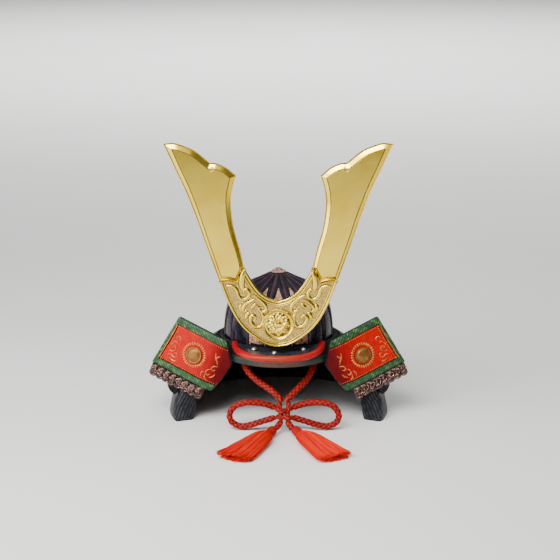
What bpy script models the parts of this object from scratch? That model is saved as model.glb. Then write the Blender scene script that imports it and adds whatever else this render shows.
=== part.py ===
"""A small glazed display kabuto: ribbed bowl, visor with a rolled red rim, flared neck guard,
turned-back side panels, a tall gilt two-horned crest, and a braided chin cord tied in a bow.

Metres, +Z up, the helmet faces -Y and stands on the floor plane z = 0. Every piece is drawn
around the bowl's own upright axis and then placed at AXIS_Y, which centres the hard pieces.
Azimuth is measured round that axis from the front, positive towards +X.
"""

import math

import bmesh
import bpy
from mathutils import Vector

# Clearances
SEAT = 0.0003                # what separates two pieces that rest on each other

# Bowl
BOWL_RADIUS = 0.0445         # plates, at the rim
BOWL_HEIGHT = 0.0535         # rim to crown
BOWL_WALL = 0.0040
BOWL_FULLNESS = 2.5          # exponent of the dome's curve, 2 is a half ellipse
CROWN_CUT = 0.995            # share of the height where the small flat under the finial lies
PLATES = 16                  # lames of the bowl, each between two standing ribs
RIB_HEIGHT = 0.0010
RIB_HALF_WIDTH = 0.0011
FINIAL_RADIUS = 0.0056
FINIAL_HEIGHT = 0.0034

# Brow band, the ring under the bowl that carries everything else
BAND_BOTTOM = 0.0500         # height above the floor
BAND_HEIGHT = 0.0160
BAND_WALL = 0.0019           # the part that stands round the bowl's rim
BAND_BODY = 0.0036           # the part below the rim
SHOULDER_DROP = 0.0027       # from the band's top edge down to the seat of the bowl's rim
GUTTER_WIDTH = 0.0060        # inner ledge that the chin cord lies on
GUTTER_FLOOR = 0.0030
GUTTER_FRONT = 60.0          # degrees from the front where the ledge starts

# Visor
VISOR_REACH = 0.0680         # rim's centre line in front of the bowl's axis
VISOR_HALF_WIDTH = 0.0347    # rim's centre line
VISOR_BACK = 0.0370          # where the rim's ends lie, in front of the axis
VISOR_SQUARENESS = 2.4
VISOR_SHEET = 0.0024
VISOR_CROWN = 0.0004         # how far the sheet bows up between band and rim
VISOR_LIFT = 0.6             # share of the rim's rise that the sheet takes at the band
VISOR_FRONT_Z = 0.0632       # rim's centre line at the middle
VISOR_END_Z = 0.0680         # rim's centre line at its ends
RIM_RADIUS = 0.0027
RIVET_RADIUS = 0.0024
RIVET_HEIGHT = 0.0015

# Neck guard
GUARD_SHEET = 0.0040
GUARD_LAP = 0.0030           # how far each lame hangs over the next
GUARD_TOP_RADIUS = 0.0520    # outer face at the top
GUARD_TOP_Z = 0.0630
GUARD_SKIRT_RADIUS = 0.0862  # outer face where the lowest lame starts
GUARD_SKIRT_Z = 0.0230
GUARD_FOOT_RADIUS = 0.0905   # outer face on the floor
GUARD_LAMES = 3              # flared lames above the lowest one
LAME_STARTS = [(67.0, 62.0), (62.5, 70.0), (69.5, 71.0)]    # degrees from the front: top, bottom
FOOT_WIDTH = 0.0165          # the lowest lame thickens to this at its two front ends
FOOT_FRONT = 67.5            # degrees from the front where those ends lie
FOOT_RUN = 11.0              # degrees over which they thicken
FOOT_ROUND = 0.0020          # rounding of the feet's front edges
FOOT_EDGE = 0.0008           # small bevel where the glaze meets the floor

# Turned-back side panels
PANEL_BEARING = 64.2         # panel's centre, degrees from the front
PANEL_Z = 0.0561
PANEL_STAND = 0.0169         # panel's centre in front of the neck guard's face at that height
PANEL_YAW = 20.0             # outer edge swept back, degrees
PANEL_LEAN = 8.0             # top edge leaned back, degrees
PANEL_ROLL = 20.9            # outer edge raised, degrees
PANEL_HEIGHT = 0.0437
PANEL_BOTTOM_WIDTH = 0.0544
PANEL_TOP_WIDTH = 0.0440
PANEL_OUTER = 0.0312         # panel's centre to its lower outer corner, along the panel
PANEL_SHEET = 0.0032
BORDER_WIDTH = 0.0052
BORDER_EDGE_WIDTH = 0.0032   # along the outer edge
BORDER_HEIGHT = 0.0018
BORDER_SLOPE = 0.0005        # width of the slope from border to field
PANEL_BULGE = 0.0085         # how far the inner edge bows out
PANEL_CURL = 0.0100          # how far the inner edge is rolled back
CURL_START = 0.0100          # from the panel's centre
FIELD_SHEET = 0.0011
DISC_RADIUS = 0.0066
DISC_HEIGHT = 0.0022
SCALES = 8
SCALE_ROW_HEIGHT = 0.0078
SCALE_ROW_DEPTH = 0.0056

# Crest
CREST_HALF_WIDTH = 0.0882
CREST_HEIGHT = 0.1630
CREST_BOTTOM = 0.0696
CREST_BACK = 0.0554          # back face, in front of the bowl's axis
CREST_SHEET = 0.0012
FLANGE = 0.0008              # flat lip round each horn's raised face
CHAMFER = 0.0019
HORN_RAISE = 0.0010
BEAD_HALF_WIDTH = 0.0008
BEAD_HEIGHT = 0.0009
SCROLL_HALF_WIDTH = 0.0008
SCROLL_HEIGHT = 0.0010
RELIEF_SINK = 0.0003         # how deep a ridge is bedded in the crest's face
PIERCED_RADIUS = 0.0014
MEDALLION_RADIUS = 0.0126
MEDALLION_HEIGHT = 0.0034
MEDALLION_Z = 0.0885
PETALS = 8
POST_WIDTH = 0.0080
POST_HEIGHT = 0.0070
POST_Z = 0.0780

# Chin cord
CORD_RADIUS = 0.0026
KNOT_CENTRE = (0.0044, -0.0550, 0.0150)
KNOT_HALF = (0.0062, 0.0048, 0.0086)
TASSEL_LENGTH = 0.0620
TASSEL_HEAD_RADIUS = 0.0040
TASSEL_END_WIDTH = 0.0270
TASSEL_END_THICKNESS = 0.0056
TASSEL_LOCKS = 7

# Shares of CREST_HALF_WIDTH and CREST_HEIGHT: (outwards, upwards), from the lower middle up
CREST_PLATE_EDGE = [(0.000, 0.000), (0.101, 0.011), (0.217, 0.049), (0.342, 0.115),
                    (0.438, 0.207), (0.528, 0.334)]
CREST_OUTER_EDGE = [(0.528, 0.334), (0.639, 0.506), (0.726, 0.646), (0.812, 0.769),
                    (0.899, 0.872), (1.000, 0.996)]
CREST_TOP_OUTER = [(1.000, 0.996), (0.910, 1.000), (0.805, 0.983), (0.716, 0.959), (0.598, 0.906)]
CREST_TOP_INNER = [(0.598, 0.906), (0.533, 0.902), (0.448, 0.880), (0.368, 0.843)]
CREST_INNER_EDGE = [(0.368, 0.843), (0.391, 0.804), (0.413, 0.745), (0.414, 0.682), (0.390, 0.586),
                    (0.333, 0.472), (0.302, 0.394)]
CREST_NECK = [(0.302, 0.394), (0.263, 0.358), (0.215, 0.315), (0.158, 0.277), (0.080, 0.247),
              (0.000, 0.235)]
CREST_JUNCTION = [(0.302, 0.394), (0.345, 0.345), (0.365, 0.322), (0.440, 0.334), (0.528, 0.334)]

# Scrollwork of one side: centre outwards and upwards as above, radius in half widths,
# degrees where the curl starts, turns (negative is clockwise)
SCROLLS = [
    (0.322, 0.272, 0.034, 100.0, 1.25),
    (0.256, 0.214, 0.044, 20.0, -1.30),
    (0.160, 0.196, 0.034, 200.0, 1.25),
    (0.268, 0.142, 0.042, 110.0, 1.40),
    (0.190, 0.092, 0.036, 60.0, -1.30),
]
PIERCED = (0.292, 0.341)

# Visor rivets: turn along the visor in degrees, share of the way from the brow band to the rim
RIVETS = {"visor_rivet_middle": (-4.0, 0.45), "visor_rivet_left": (-45.0, 0.22),
          "visor_rivet_right": (45.0, 0.22)}

# Cord routes, chosen by hand: x, y, z from the bowl's axis at floor level
CHIN_ROUTE = [
    (0.0012, -0.0550, 0.0240), (0.0010, -0.0550, 0.0266), (-0.0070, -0.0495, 0.0325),
    (-0.0165, -0.0425, 0.0372), (-0.0240, -0.0358, 0.0425), (-0.0276, -0.0290, 0.0475),
    (-0.0300, -0.0262, 0.0525), (-0.0325, -0.0235, 0.0556), (-0.0365, -0.0180, 0.0560),
    (-0.0400, -0.0080, 0.0560), (-0.0405, 0.0040, 0.0560), (-0.0375, 0.0160, 0.0560),
    (-0.0305, 0.0272, 0.0560), (-0.0205, 0.0353, 0.0560), (-0.0080, 0.0400, 0.0560),
    (0.0050, 0.0405, 0.0560), (0.0175, 0.0369, 0.0560), (0.0285, 0.0293, 0.0560),
    (0.0365, 0.0183, 0.0560), (0.0403, 0.0060, 0.0560), (0.0402, -0.0065, 0.0560),
    (0.0370, -0.0172, 0.0560), (0.0325, -0.0235, 0.0556), (0.0304, -0.0262, 0.0525),
    (0.0284, -0.0290, 0.0475), (0.0262, -0.0358, 0.0425), (0.0215, -0.0425, 0.0372),
    (0.0150, -0.0495, 0.0325), (0.0078, -0.0550, 0.0266), (0.0076, -0.0550, 0.0240),
]
LEFT_LOOP = [
    (-0.0022, -0.0527, 0.0180), (-0.0080, -0.0530, 0.0205), (-0.0155, -0.0540, 0.0226),
    (-0.0250, -0.0550, 0.0232), (-0.0345, -0.0552, 0.0204), (-0.0390, -0.0552, 0.0135),
    (-0.0368, -0.0554, 0.0068), (-0.0295, -0.0556, 0.0036), (-0.0210, -0.0565, 0.0054),
    (-0.0120, -0.0574, 0.0086), (-0.0022, -0.0580, 0.0120),
]
RIGHT_LOOP = [
    (0.0110, -0.0527, 0.0180), (0.0168, -0.0530, 0.0205), (0.0245, -0.0540, 0.0226),
    (0.0345, -0.0550, 0.0232), (0.0435, -0.0552, 0.0204), (0.0480, -0.0552, 0.0135),
    (0.0462, -0.0554, 0.0068), (0.0390, -0.0556, 0.0036), (0.0300, -0.0565, 0.0054),
    (0.0210, -0.0574, 0.0086), (0.0110, -0.0580, 0.0120),
]
LEFT_TAIL = [(0.0016, -0.0602, 0.0098), (0.0010, -0.0628, 0.0085), (-0.0006, -0.0652, 0.0068),
             (-0.0026, -0.0676, 0.0056)]
RIGHT_TAIL = [(0.0074, -0.0602, 0.0098), (0.0080, -0.0628, 0.0085), (0.0096, -0.0652, 0.0068),
              (0.0116, -0.0676, 0.0056)]
LEFT_TASSEL_TURN = -29.0     # degrees from straight forward
RIGHT_TASSEL_TURN = 29.0

# Resulting places
BOWL_BOTTOM = BAND_BOTTOM + BAND_HEIGHT - SHOULDER_DROP + SEAT
BAND_INNER = BOWL_RADIUS + RIB_HEIGHT + SEAT
BAND_OUTER = BAND_INNER + BAND_WALL
GUARD_FLARE = math.atan2(GUARD_SKIRT_RADIUS - GUARD_TOP_RADIUS, GUARD_TOP_Z - GUARD_SKIRT_Z)
GUARD_LAME = math.hypot(GUARD_SKIRT_RADIUS - GUARD_TOP_RADIUS,
                        GUARD_TOP_Z - GUARD_SKIRT_Z) / GUARD_LAMES
GUARD_STEP = (GUARD_SHEET + SEAT) * (GUARD_LAME + GUARD_LAP) / GUARD_LAME
GUARD_REACH = max(GUARD_FOOT_RADIUS, GUARD_SKIRT_RADIUS + GUARD_LAP * math.sin(GUARD_FLARE)
                  + GUARD_STEP * math.cos(GUARD_FLARE))
AXIS_Y = (VISOR_REACH + RIM_RADIUS - GUARD_REACH) / 2
PANEL_RADIUS = PANEL_STAND + GUARD_TOP_RADIUS + (GUARD_TOP_Z - PANEL_Z) * math.tan(GUARD_FLARE)


def clear_scene():
    for obj in list(bpy.data.objects):
        bpy.data.objects.remove(obj, do_unlink=True)


def material(name, colour, roughness, metallic=0.0):
    made = bpy.data.materials.new(name)
    made.use_nodes = True
    shader = made.node_tree.nodes["Principled BSDF"]
    shader.inputs["Base Color"].default_value = (*colour, 1.0)
    shader.inputs["Roughness"].default_value = roughness
    shader.inputs["Metallic"].default_value = metallic
    return made


def mesh_object(name, verts, faces, finish, sharp=35.0):
    mesh = bpy.data.meshes.new(name)
    mesh.from_pydata([tuple(v) for v in verts], [], faces)
    shape = bmesh.new()
    shape.from_mesh(mesh)
    bmesh.ops.recalc_face_normals(shape, faces=shape.faces)
    shape.to_mesh(mesh)
    shape.free()
    mesh.materials.append(finish)
    mesh.shade_smooth()
    mesh.set_sharp_from_angle(angle=math.radians(sharp))
    obj = bpy.data.objects.new(name, mesh)
    obj.location = (0.0, AXIS_Y, 0.0)
    bpy.context.collection.objects.link(obj)
    return obj


def loft_faces(count, rings, joined=False, first=0):
    """Quads between rings of count points each, numbered from first; capped unless joined."""
    faces = []
    spans = rings if joined else rings - 1
    for i in range(spans):
        a = first + i * count
        b = first + ((i + 1) % rings) * count
        for j in range(count):
            k = (j + 1) % count
            faces.append((a + j, a + k, b + k, b + j))
    if not joined:
        faces.append(tuple(first + j for j in range(count)))
        faces.append(tuple(first + (rings - 1) * count + j for j in reversed(range(count))))
    return faces


def loft(name, rings, finish, joined=False, sharp=35.0):
    verts = [point for ring in rings for point in ring]
    return mesh_object(name, verts, loft_faces(len(rings[0]), len(rings), joined), finish, sharp)


def around(radius, azimuth, z):
    turn = math.radians(azimuth)
    return Vector((radius * math.sin(turn), -radius * math.cos(turn), z))


def smooth_through(points, steps):
    """Points on a smooth curve through the given ones, with steps pieces between each pair."""
    line = [Vector(p) for p in points]
    padded = [2 * line[0] - line[1]] + line + [2 * line[-1] - line[-2]]
    curve = []
    for p0, p1, p2, p3 in zip(padded, padded[1:], padded[2:], padded[3:]):
        for step in range(steps):
            t = step / steps
            curve.append(0.5 * (2 * p1 + (p2 - p0) * t + (2 * p0 - 5 * p1 + 4 * p2 - p3) * t * t
                                + (3 * p1 - p0 - 3 * p2 + p3) * t ** 3))
    return curve + [line[-1]]


def dome_radius(rise, radius, height):
    share = min(max(rise / height, 0.0), 1.0)
    return radius * (1 - share ** BOWL_FULLNESS) ** (1 / BOWL_FULLNESS)


def dome_ring(rise, radius, height, rib):
    ring = []
    level = dome_radius(rise, radius, height)
    half = min(math.degrees(RIB_HALF_WIDTH / level), 120 / PLATES)
    for plate in range(PLATES):
        middle = (plate + 0.5) * 360 / PLATES
        for offset, lift in ((-half, 0.0), (0.0, rib), (half, 0.0)):
            ring.append(around(level + lift, middle + offset, BOWL_BOTTOM + rise))
    return ring


def make_bowl(finish):
    outer_rises = [0.0, 0.18, 0.36, 0.54, 0.70, 0.83, 0.92, 0.972, CROWN_CUT]
    inner_rises = [0.985, 0.90, 0.70, 0.38, 0.0]
    inner_height = BOWL_HEIGHT - BOWL_WALL
    inner = [dome_ring(share * inner_height, BOWL_RADIUS - BOWL_WALL, inner_height, 0.0)
             for share in inner_rises]
    outer = [dome_ring(share * BOWL_HEIGHT, BOWL_RADIUS, BOWL_HEIGHT, RIB_HEIGHT)
             for share in outer_rises]
    return loft("bowl", inner + outer, finish)


def make_finial(finish):
    bottom = BOWL_BOTTOM + CROWN_CUT * BOWL_HEIGHT + SEAT
    profile = [(1.00, 0.00), (1.04, 0.22), (0.86, 0.40), (0.62, 0.46), (0.66, 0.72), (0.42, 1.00)]
    rings = [[around(radius * FINIAL_RADIUS, 22.5 * i, bottom + rise * FINIAL_HEIGHT)
              for i in range(16)] for radius, rise in profile]
    return loft("crown_finial", rings, finish)


def make_band(finish):
    top = BAND_BOTTOM + BAND_HEIGHT
    body = BAND_OUTER - BAND_BODY
    rings = []
    count = 40
    for i in range(count):
        azimuth = i * 360 / count
        from_front = min(azimuth, 360 - azimuth)
        ledge = GUTTER_WIDTH if from_front >= GUTTER_FRONT else SEAT / 3
        rings.append([
            around(BAND_OUTER, azimuth, BAND_BOTTOM), around(BAND_OUTER, azimuth, top),
            around(BAND_INNER, azimuth, top), around(BAND_INNER, azimuth, top - SHOULDER_DROP),
            around(body - SEAT, azimuth, top - SHOULDER_DROP),
            around(body, azimuth, BAND_BOTTOM + GUTTER_FLOOR),
            around(body - ledge, azimuth, BAND_BOTTOM + GUTTER_FLOOR),
            around(body - ledge, azimuth, BAND_BOTTOM)])
    return loft("brow_band", rings, finish, joined=True)


def visor_edge(turn):
    """Rim's centre line in plan and height at a turn of -90 to 90 degrees."""
    s, c = math.sin(math.radians(turn)), max(math.cos(math.radians(turn)), 0.0)
    power = 2 / VISOR_SQUARENESS
    x = VISOR_HALF_WIDTH * math.copysign(abs(s) ** power, s)
    y = -VISOR_BACK - (VISOR_REACH - VISOR_BACK) * c ** power
    z = VISOR_END_Z + (VISOR_FRONT_Z - VISOR_END_Z) * c ** 0.7
    return Vector((x, y, z))


def visor_section(turn):
    """The visor's upper face at one turn: at the brow band, halfway, and beside the rim."""
    edge = visor_edge(turn)
    ahead = visor_edge(turn + 1) - visor_edge(turn - 1)
    inward = Vector((-ahead.y, ahead.x, 0.0)).normalized()
    if inward.y < 0:
        inward = -inward
    out = edge + inward * (RIM_RADIUS + SEAT) + Vector((0.0, 0.0, VISOR_SHEET / 2))
    bearing = math.degrees(math.atan2(out.x, -out.y))
    inner_z = BAND_BOTTOM + BAND_HEIGHT - VISOR_SHEET
    seat = around(BAND_OUTER + SEAT, bearing, inner_z + (edge.z - VISOR_FRONT_Z) * VISOR_LIFT)
    middle = (seat + out) / 2 + Vector((0.0, 0.0, VISOR_CROWN))
    return seat, middle, out


def make_visor(finish):
    rings = []
    down = Vector((0.0, 0.0, -VISOR_SHEET))
    for turn in range(-84, 85, 12):
        seat, middle, out = visor_section(turn)
        rings.append([seat, middle, out, out + down, middle + down, seat + down])
    return loft("visor", rings, finish)


def tube_rings(path, radius, sides):
    rings = []
    for i, point in enumerate(path):
        ahead = path[min(i + 1, len(path) - 1)] - path[max(i - 1, 0)]
        side = ahead.cross(Vector((0.0, 0.0, 1.0))).normalized()
        over = side.cross(ahead).normalized()
        rings.append([point + radius * (math.cos(a) * side + math.sin(a) * over)
                      for a in (2 * math.pi * j / sides for j in range(sides))])
    return rings


def make_visor_rim(finish):
    path = [visor_edge(turn) for turn in (-90, -82, -72, -60, -48, -36, -24, -12, 0,
                                          12, 24, 36, 48, 60, 72, 82, 90)]
    return loft("visor_rim", tube_rings(path, RIM_RADIUS, 8), finish)


def make_rivet(name, turn, share, finish):
    seat, middle, _ = visor_section(turn)
    foot = seat + (middle - seat) * 2 * share + Vector((0.0, 0.0, 2 * SEAT))
    profile = [(0.90, 0.0), (1.0, 0.25), (0.72, 0.8), (0.3, 1.0)]
    rings = [[foot + Vector((r * RIVET_RADIUS * math.cos(a), r * RIVET_RADIUS * math.sin(a),
                             rise * RIVET_HEIGHT))
              for a in (math.pi / 4 * j for j in range(8))] for r, rise in profile]
    return loft(name, rings, finish)


def guard_point(along, out):
    """Radius and height of a point on the flared part of the neck guard's outer face."""
    radius = GUARD_TOP_RADIUS + along * math.sin(GUARD_FLARE) + out * math.cos(GUARD_FLARE)
    height = GUARD_TOP_Z - along * math.cos(GUARD_FLARE) + out * math.sin(GUARD_FLARE)
    return radius, height


def make_lame(index, finish):
    top = index * GUARD_LAME
    bottom = top + GUARD_LAME + GUARD_LAP
    section = [guard_point(top, 0.0), guard_point(bottom, GUARD_STEP),
               guard_point(bottom, GUARD_STEP - GUARD_SHEET), guard_point(top, -GUARD_SHEET)]
    if index == 0:
        section[3] = (BAND_OUTER + 1.5 * SEAT, section[3][1])
    start_top, start_bottom = LAME_STARTS[index]
    starts = (start_top, start_bottom, start_bottom, start_top)
    steps = 26
    rings = []
    for i in range(steps + 1):
        rings.append([around(radius, start + (360 - 2 * start) * i / steps, height)
                      for start, (radius, height) in zip(starts, section)])
    return loft(f"neck_guard_lame_{index + 1}", rings, finish)


def make_skirt(finish):
    """Lowest lame: stands on the floor and thickens into a rounded foot at each front end."""
    rounding = math.degrees(FOOT_ROUND / GUARD_FOOT_RADIUS)
    azimuths = [FOOT_FRONT, FOOT_FRONT + rounding, FOOT_FRONT + 4.0, FOOT_FRONT + FOOT_RUN]
    azimuths += [FOOT_FRONT + FOOT_RUN + (180 - FOOT_FRONT - FOOT_RUN) * i / 11
                 for i in range(1, 12)]
    azimuths += [360 - a for a in reversed(azimuths[:-1])]
    top_z = GUARD_SKIRT_Z
    rings = []
    for azimuth in azimuths:
        into = min(azimuth, 360 - azimuth) - FOOT_FRONT
        swell = 1 - min(into / FOOT_RUN, 1.0)
        width = GUARD_SHEET + (FOOT_WIDTH - GUARD_SHEET) * math.sqrt(swell)
        at_end = into < rounding / 2
        round_off = FOOT_ROUND if at_end else 0.0
        lift = FOOT_ROUND if at_end else 0.0
        outer_top = GUARD_SKIRT_RADIUS - round_off - SEAT
        outer_foot = GUARD_FOOT_RADIUS - round_off
        inner_foot = GUARD_FOOT_RADIUS - width + round_off
        inner_top = GUARD_SKIRT_RADIUS - width + round_off
        rings.append([
            around(outer_top, azimuth, top_z),
            around(outer_foot, azimuth, FOOT_EDGE + lift),
            around(outer_foot - FOOT_EDGE, azimuth, lift),
            around(inner_foot + FOOT_EDGE, azimuth, lift),
            around(inner_foot, azimuth, FOOT_EDGE + lift),
            around(inner_top, azimuth, top_z)])
    return loft("neck_guard_skirt", rings, finish)


def panel_axes(side):
    """Along the panel towards the helmet, up the panel, and out of its face."""
    yaw, lean, roll = (math.radians(a) for a in (PANEL_YAW, PANEL_LEAN, PANEL_ROLL))
    out = Vector((math.sin(yaw) * math.cos(lean), -math.cos(yaw) * math.cos(lean), math.sin(lean)))
    level = Vector((-math.cos(yaw), -math.sin(yaw), 0.0))
    rise = level.cross(out)
    if rise.z < 0:
        rise = -rise
    along = level * math.cos(roll) - rise * math.sin(roll)
    up = level * math.sin(roll) + rise * math.cos(roll)
    axes = []
    for axis in (along, up, out):
        axes.append(Vector((axis.x * side, axis.y, axis.z)))
    return axes


def panel_point(side, along, up, out):
    """A point of a side panel from its own plan: along from outer to inner edge, up and out."""
    a, u, o = panel_axes(side)
    back = PANEL_CURL * (max(along - CURL_START, 0.0) / (PANEL_BOTTOM_WIDTH - PANEL_OUTER)) ** 2
    centre = around(PANEL_RADIUS, PANEL_BEARING * side, PANEL_Z)
    return centre + a * along + u * up + o * (out - back)


def panel_plan(across, rise):
    """Along and up, in metres, of a point given as shares of the panel's outline."""
    lean_in = (PANEL_BOTTOM_WIDTH - PANEL_TOP_WIDTH) * 0.65
    outer = -PANEL_OUTER + lean_in * rise
    inner = PANEL_BOTTOM_WIDTH - PANEL_OUTER - (PANEL_BOTTOM_WIDTH - PANEL_TOP_WIDTH - lean_in) * rise
    inner += PANEL_BULGE * 4 * rise * (1 - rise)
    return outer + (inner - outer) * across, (rise - 0.49) * PANEL_HEIGHT


def grid_shell(name, side, acrosses, rises, front, back, finish):
    """A closed sheet over a grid of outline shares, with its two faces at front(i, j), back."""
    verts = []
    for layer in (front, back):
        for j, rise in enumerate(rises):
            for i, across in enumerate(acrosses):
                along, up = panel_plan(across, rise)
                verts.append(panel_point(side, along, up, layer(i, j)))
    columns, rows = len(acrosses), len(rises)
    size = columns * rows
    faces = []
    for j in range(rows - 1):
        for i in range(columns - 1):
            a = j * columns + i
            faces.append((a, a + 1, a + columns + 1, a + columns))
            faces.append((size + a, size + a + columns, size + a + columns + 1, size + a + 1))
    edge = [i for i in range(columns)]
    edge += [columns * (j + 1) - 1 for j in range(1, rows)]
    edge += [columns * (rows - 1) + i for i in reversed(range(columns - 1))]
    edge += [columns * j for j in reversed(range(1, rows - 1))]
    for a, b in zip(edge, edge[1:] + edge[:1]):
        faces.append((a, size + a, size + b, b))
    return mesh_object(name, verts, faces, finish)


def make_panel(side, label, border_finish, field_finish, disc_finish):
    edge = BORDER_EDGE_WIDTH / PANEL_BOTTOM_WIDTH
    band = BORDER_WIDTH / PANEL_HEIGHT
    slope = BORDER_SLOPE / PANEL_HEIGHT
    acrosses = [0.0, edge, edge + slope, 0.3, 0.5, 0.65, 0.78, 0.89, 1.0]
    rises = [0.0, band, band + slope, 0.3, 0.5, 0.7, 1 - band - slope, 1 - band, 1.0]

    def border(i, j):
        return BORDER_HEIGHT if i < 2 or j < 2 or j > len(rises) - 3 else 0.0

    grid_shell(f"side_panel_{label}", side, acrosses, rises, border,
               lambda i, j: -PANEL_SHEET, border_finish)
    gap = SEAT / PANEL_HEIGHT
    first = edge + slope + gap
    low = band + slope + gap
    field_across = [first, 0.3, 0.5, 0.65, 0.78, 0.89, 1.0]
    field_rises = [low, 0.3, 0.5, 0.7, 1 - low]
    grid_shell(f"panel_field_{label}", side, field_across, field_rises,
               lambda i, j: SEAT + FIELD_SHEET, lambda i, j: SEAT, field_finish)
    bottom = SEAT + FIELD_SHEET + SEAT
    profile = [(1.0, 0.0), (1.0, 0.35), (0.8, 0.45), (0.72, 0.8), (0.4, 1.0)]
    rings = [[panel_point(side, r * DISC_RADIUS * math.cos(t), r * DISC_RADIUS * math.sin(t),
                          bottom + rise * DISC_HEIGHT)
              for t in (2 * math.pi * j / 16 for j in range(16))] for r, rise in profile]
    loft(f"panel_disc_{label}", rings, disc_finish)


def make_scale_row(side, label, finish):
    """A bar of overlapping rounded scale ends that hangs under the panel's lower border."""
    start, low = panel_plan(0.02, 0.0)
    end, _ = panel_plan(0.90, 0.0)
    per_scale = 4
    count = SCALES * per_scale
    rings = []
    for i in range(count + 1):
        phase = (i % per_scale) / per_scale
        swell = 0.62 + 0.38 * math.sin(math.pi * phase)
        along = start + (end - start) * i / count
        depth = SCALE_ROW_DEPTH * swell
        height = SCALE_ROW_HEIGHT * (0.72 + 0.28 * swell)
        top = low - SEAT
        centre = BORDER_HEIGHT / 2 - PANEL_SHEET / 2
        plan = [(centre + depth * 0.45, top), (centre + depth * 0.62, top - height * 0.45),
                (centre + depth * 0.35, top - height), (centre - depth * 0.35, top - height),
                (centre - depth * 0.45, top)]
        rings.append([panel_point(side, along, up, out) for out, up in plan])
    return loft(f"scale_row_{label}", rings, finish, sharp=50.0)


def crest_point(share):
    return Vector((share[0] * CREST_HALF_WIDTH, CREST_BOTTOM + share[1] * CREST_HEIGHT))


def crest_curve(table, steps):
    flat = smooth_through([(*crest_point(row), 0.0) for row in table], steps)
    return [Vector((p.x, p.y)) for p in flat]


def inset(outline, distance):
    """The closed outline moved inwards, with mitred corners; it runs counter-clockwise."""
    moved = []
    count = len(outline)
    for i, point in enumerate(outline):
        before = (point - outline[i - 1]).normalized()
        after = (outline[(i + 1) % count] - point).normalized()
        inward = Vector((-(before.y + after.y), before.x + after.x)).normalized()
        lean = max(inward.dot(Vector((-before.y, before.x))), 0.45)
        moved.append(point + inward * distance / lean)
    return moved


def crest_depth(out):
    """World y of a level that stands out from the crest sheet's front face."""
    return -(CREST_BACK + CREST_SHEET + out)


def flat_ring(outline, side, y):
    return [Vector((p.x * side, y, p.y)) for p in outline]


def horn_outline():
    outer = crest_curve(CREST_OUTER_EDGE, 2)
    top_outer = crest_curve(CREST_TOP_OUTER, 2)
    top_inner = crest_curve(CREST_TOP_INNER, 2)
    inner = crest_curve(CREST_INNER_EDGE, 2)
    junction = crest_curve(CREST_JUNCTION, 1)
    return outer[:-1] + top_outer[:-1] + top_inner[:-1] + inner[:-1] + junction[:-1]


def crest_outline():
    right = crest_curve(CREST_PLATE_EDGE, 2)[:-1] + horn_outline()
    neck = crest_curve(CREST_NECK, 2)
    right = right[:-(len(CREST_JUNCTION) - 1)] + neck
    left = [Vector((-p.x, p.y)) for p in reversed(right[1:-1])]
    return right + left


def ridge_rings(path, half_width, height):
    """Rings of a low bevelled ridge that follows a flat path on the crest's front face."""
    rings = []
    for i, point in enumerate(path):
        ahead = (path[min(i + 1, len(path) - 1)] - path[max(i - 1, 0)]).normalized()
        side = Vector((-ahead.y, ahead.x))
        wide, narrow = half_width * side, 0.45 * half_width * side
        rings.append([
            Vector((q.x, crest_depth(out), q.y))
            for q, out in ((point + wide, -RELIEF_SINK), (point + wide, height * 0.35),
                           (point + narrow, height), (point - narrow, height),
                           (point - wide, height * 0.35), (point - wide, -RELIEF_SINK))])
    return rings


def scroll_path(centre, radius, start, turns):
    path = []
    steps = 12
    for i in range(steps + 1):
        share = i / steps
        angle = math.radians(start) + 2 * math.pi * turns * share
        reach = radius * (1.0 - 0.72 * share)
        path.append(centre + reach * Vector((math.cos(angle), math.sin(angle))))
    return path


def mirrored(rings):
    return [[Vector((-p.x, p.y, p.z)) for p in ring] for ring in rings]


def crest_relief():
    """Every raised part of the crest as one list of lofts."""
    lofts = []
    pad = inset(horn_outline(), FLANGE)
    top = inset(pad, CHAMFER)
    horn = [flat_ring(pad, 1, crest_depth(-SEAT)), flat_ring(top, 1, crest_depth(HORN_RAISE))]
    lofts += [horn, mirrored(horn)]
    gap = BEAD_HALF_WIDTH + SEAT
    edge = crest_curve(CREST_PLATE_EDGE, 2)
    full_edge = [Vector((-p.x, p.y)) for p in reversed(edge[1:])] + edge
    lofts.append(ridge_rings(offset_path(full_edge, gap), BEAD_HALF_WIDTH, BEAD_HEIGHT))
    neck = crest_curve(CREST_NECK, 2)
    full_neck = neck + [Vector((-p.x, p.y)) for p in reversed(neck[:-1])]
    for away in (gap, gap + 2.6 * BEAD_HALF_WIDTH):
        path = offset_path(full_neck, away)
        lofts.append(ridge_rings(path[1:-1], BEAD_HALF_WIDTH * 0.8, BEAD_HEIGHT))
    for outwards, upwards, radius, start, turns in SCROLLS:
        path = scroll_path(crest_point((outwards, upwards)), radius * CREST_HALF_WIDTH, start, turns)
        curl = ridge_rings(path, SCROLL_HALF_WIDTH, SCROLL_HEIGHT)
        lofts += [curl, mirrored(curl)]
    return lofts


def offset_path(path, distance):
    """An open flat path moved to its left."""
    moved = []
    for i, point in enumerate(path):
        ahead = (path[min(i + 1, len(path) - 1)] - path[max(i - 1, 0)]).normalized()
        moved.append(point + distance * Vector((-ahead.y, ahead.x)))
    return moved


def helper_object(name, verts, faces, finish):
    obj = mesh_object(name, verts, faces, finish)
    obj.hide_render = True
    obj.display_type = "WIRE"
    return obj


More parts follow.
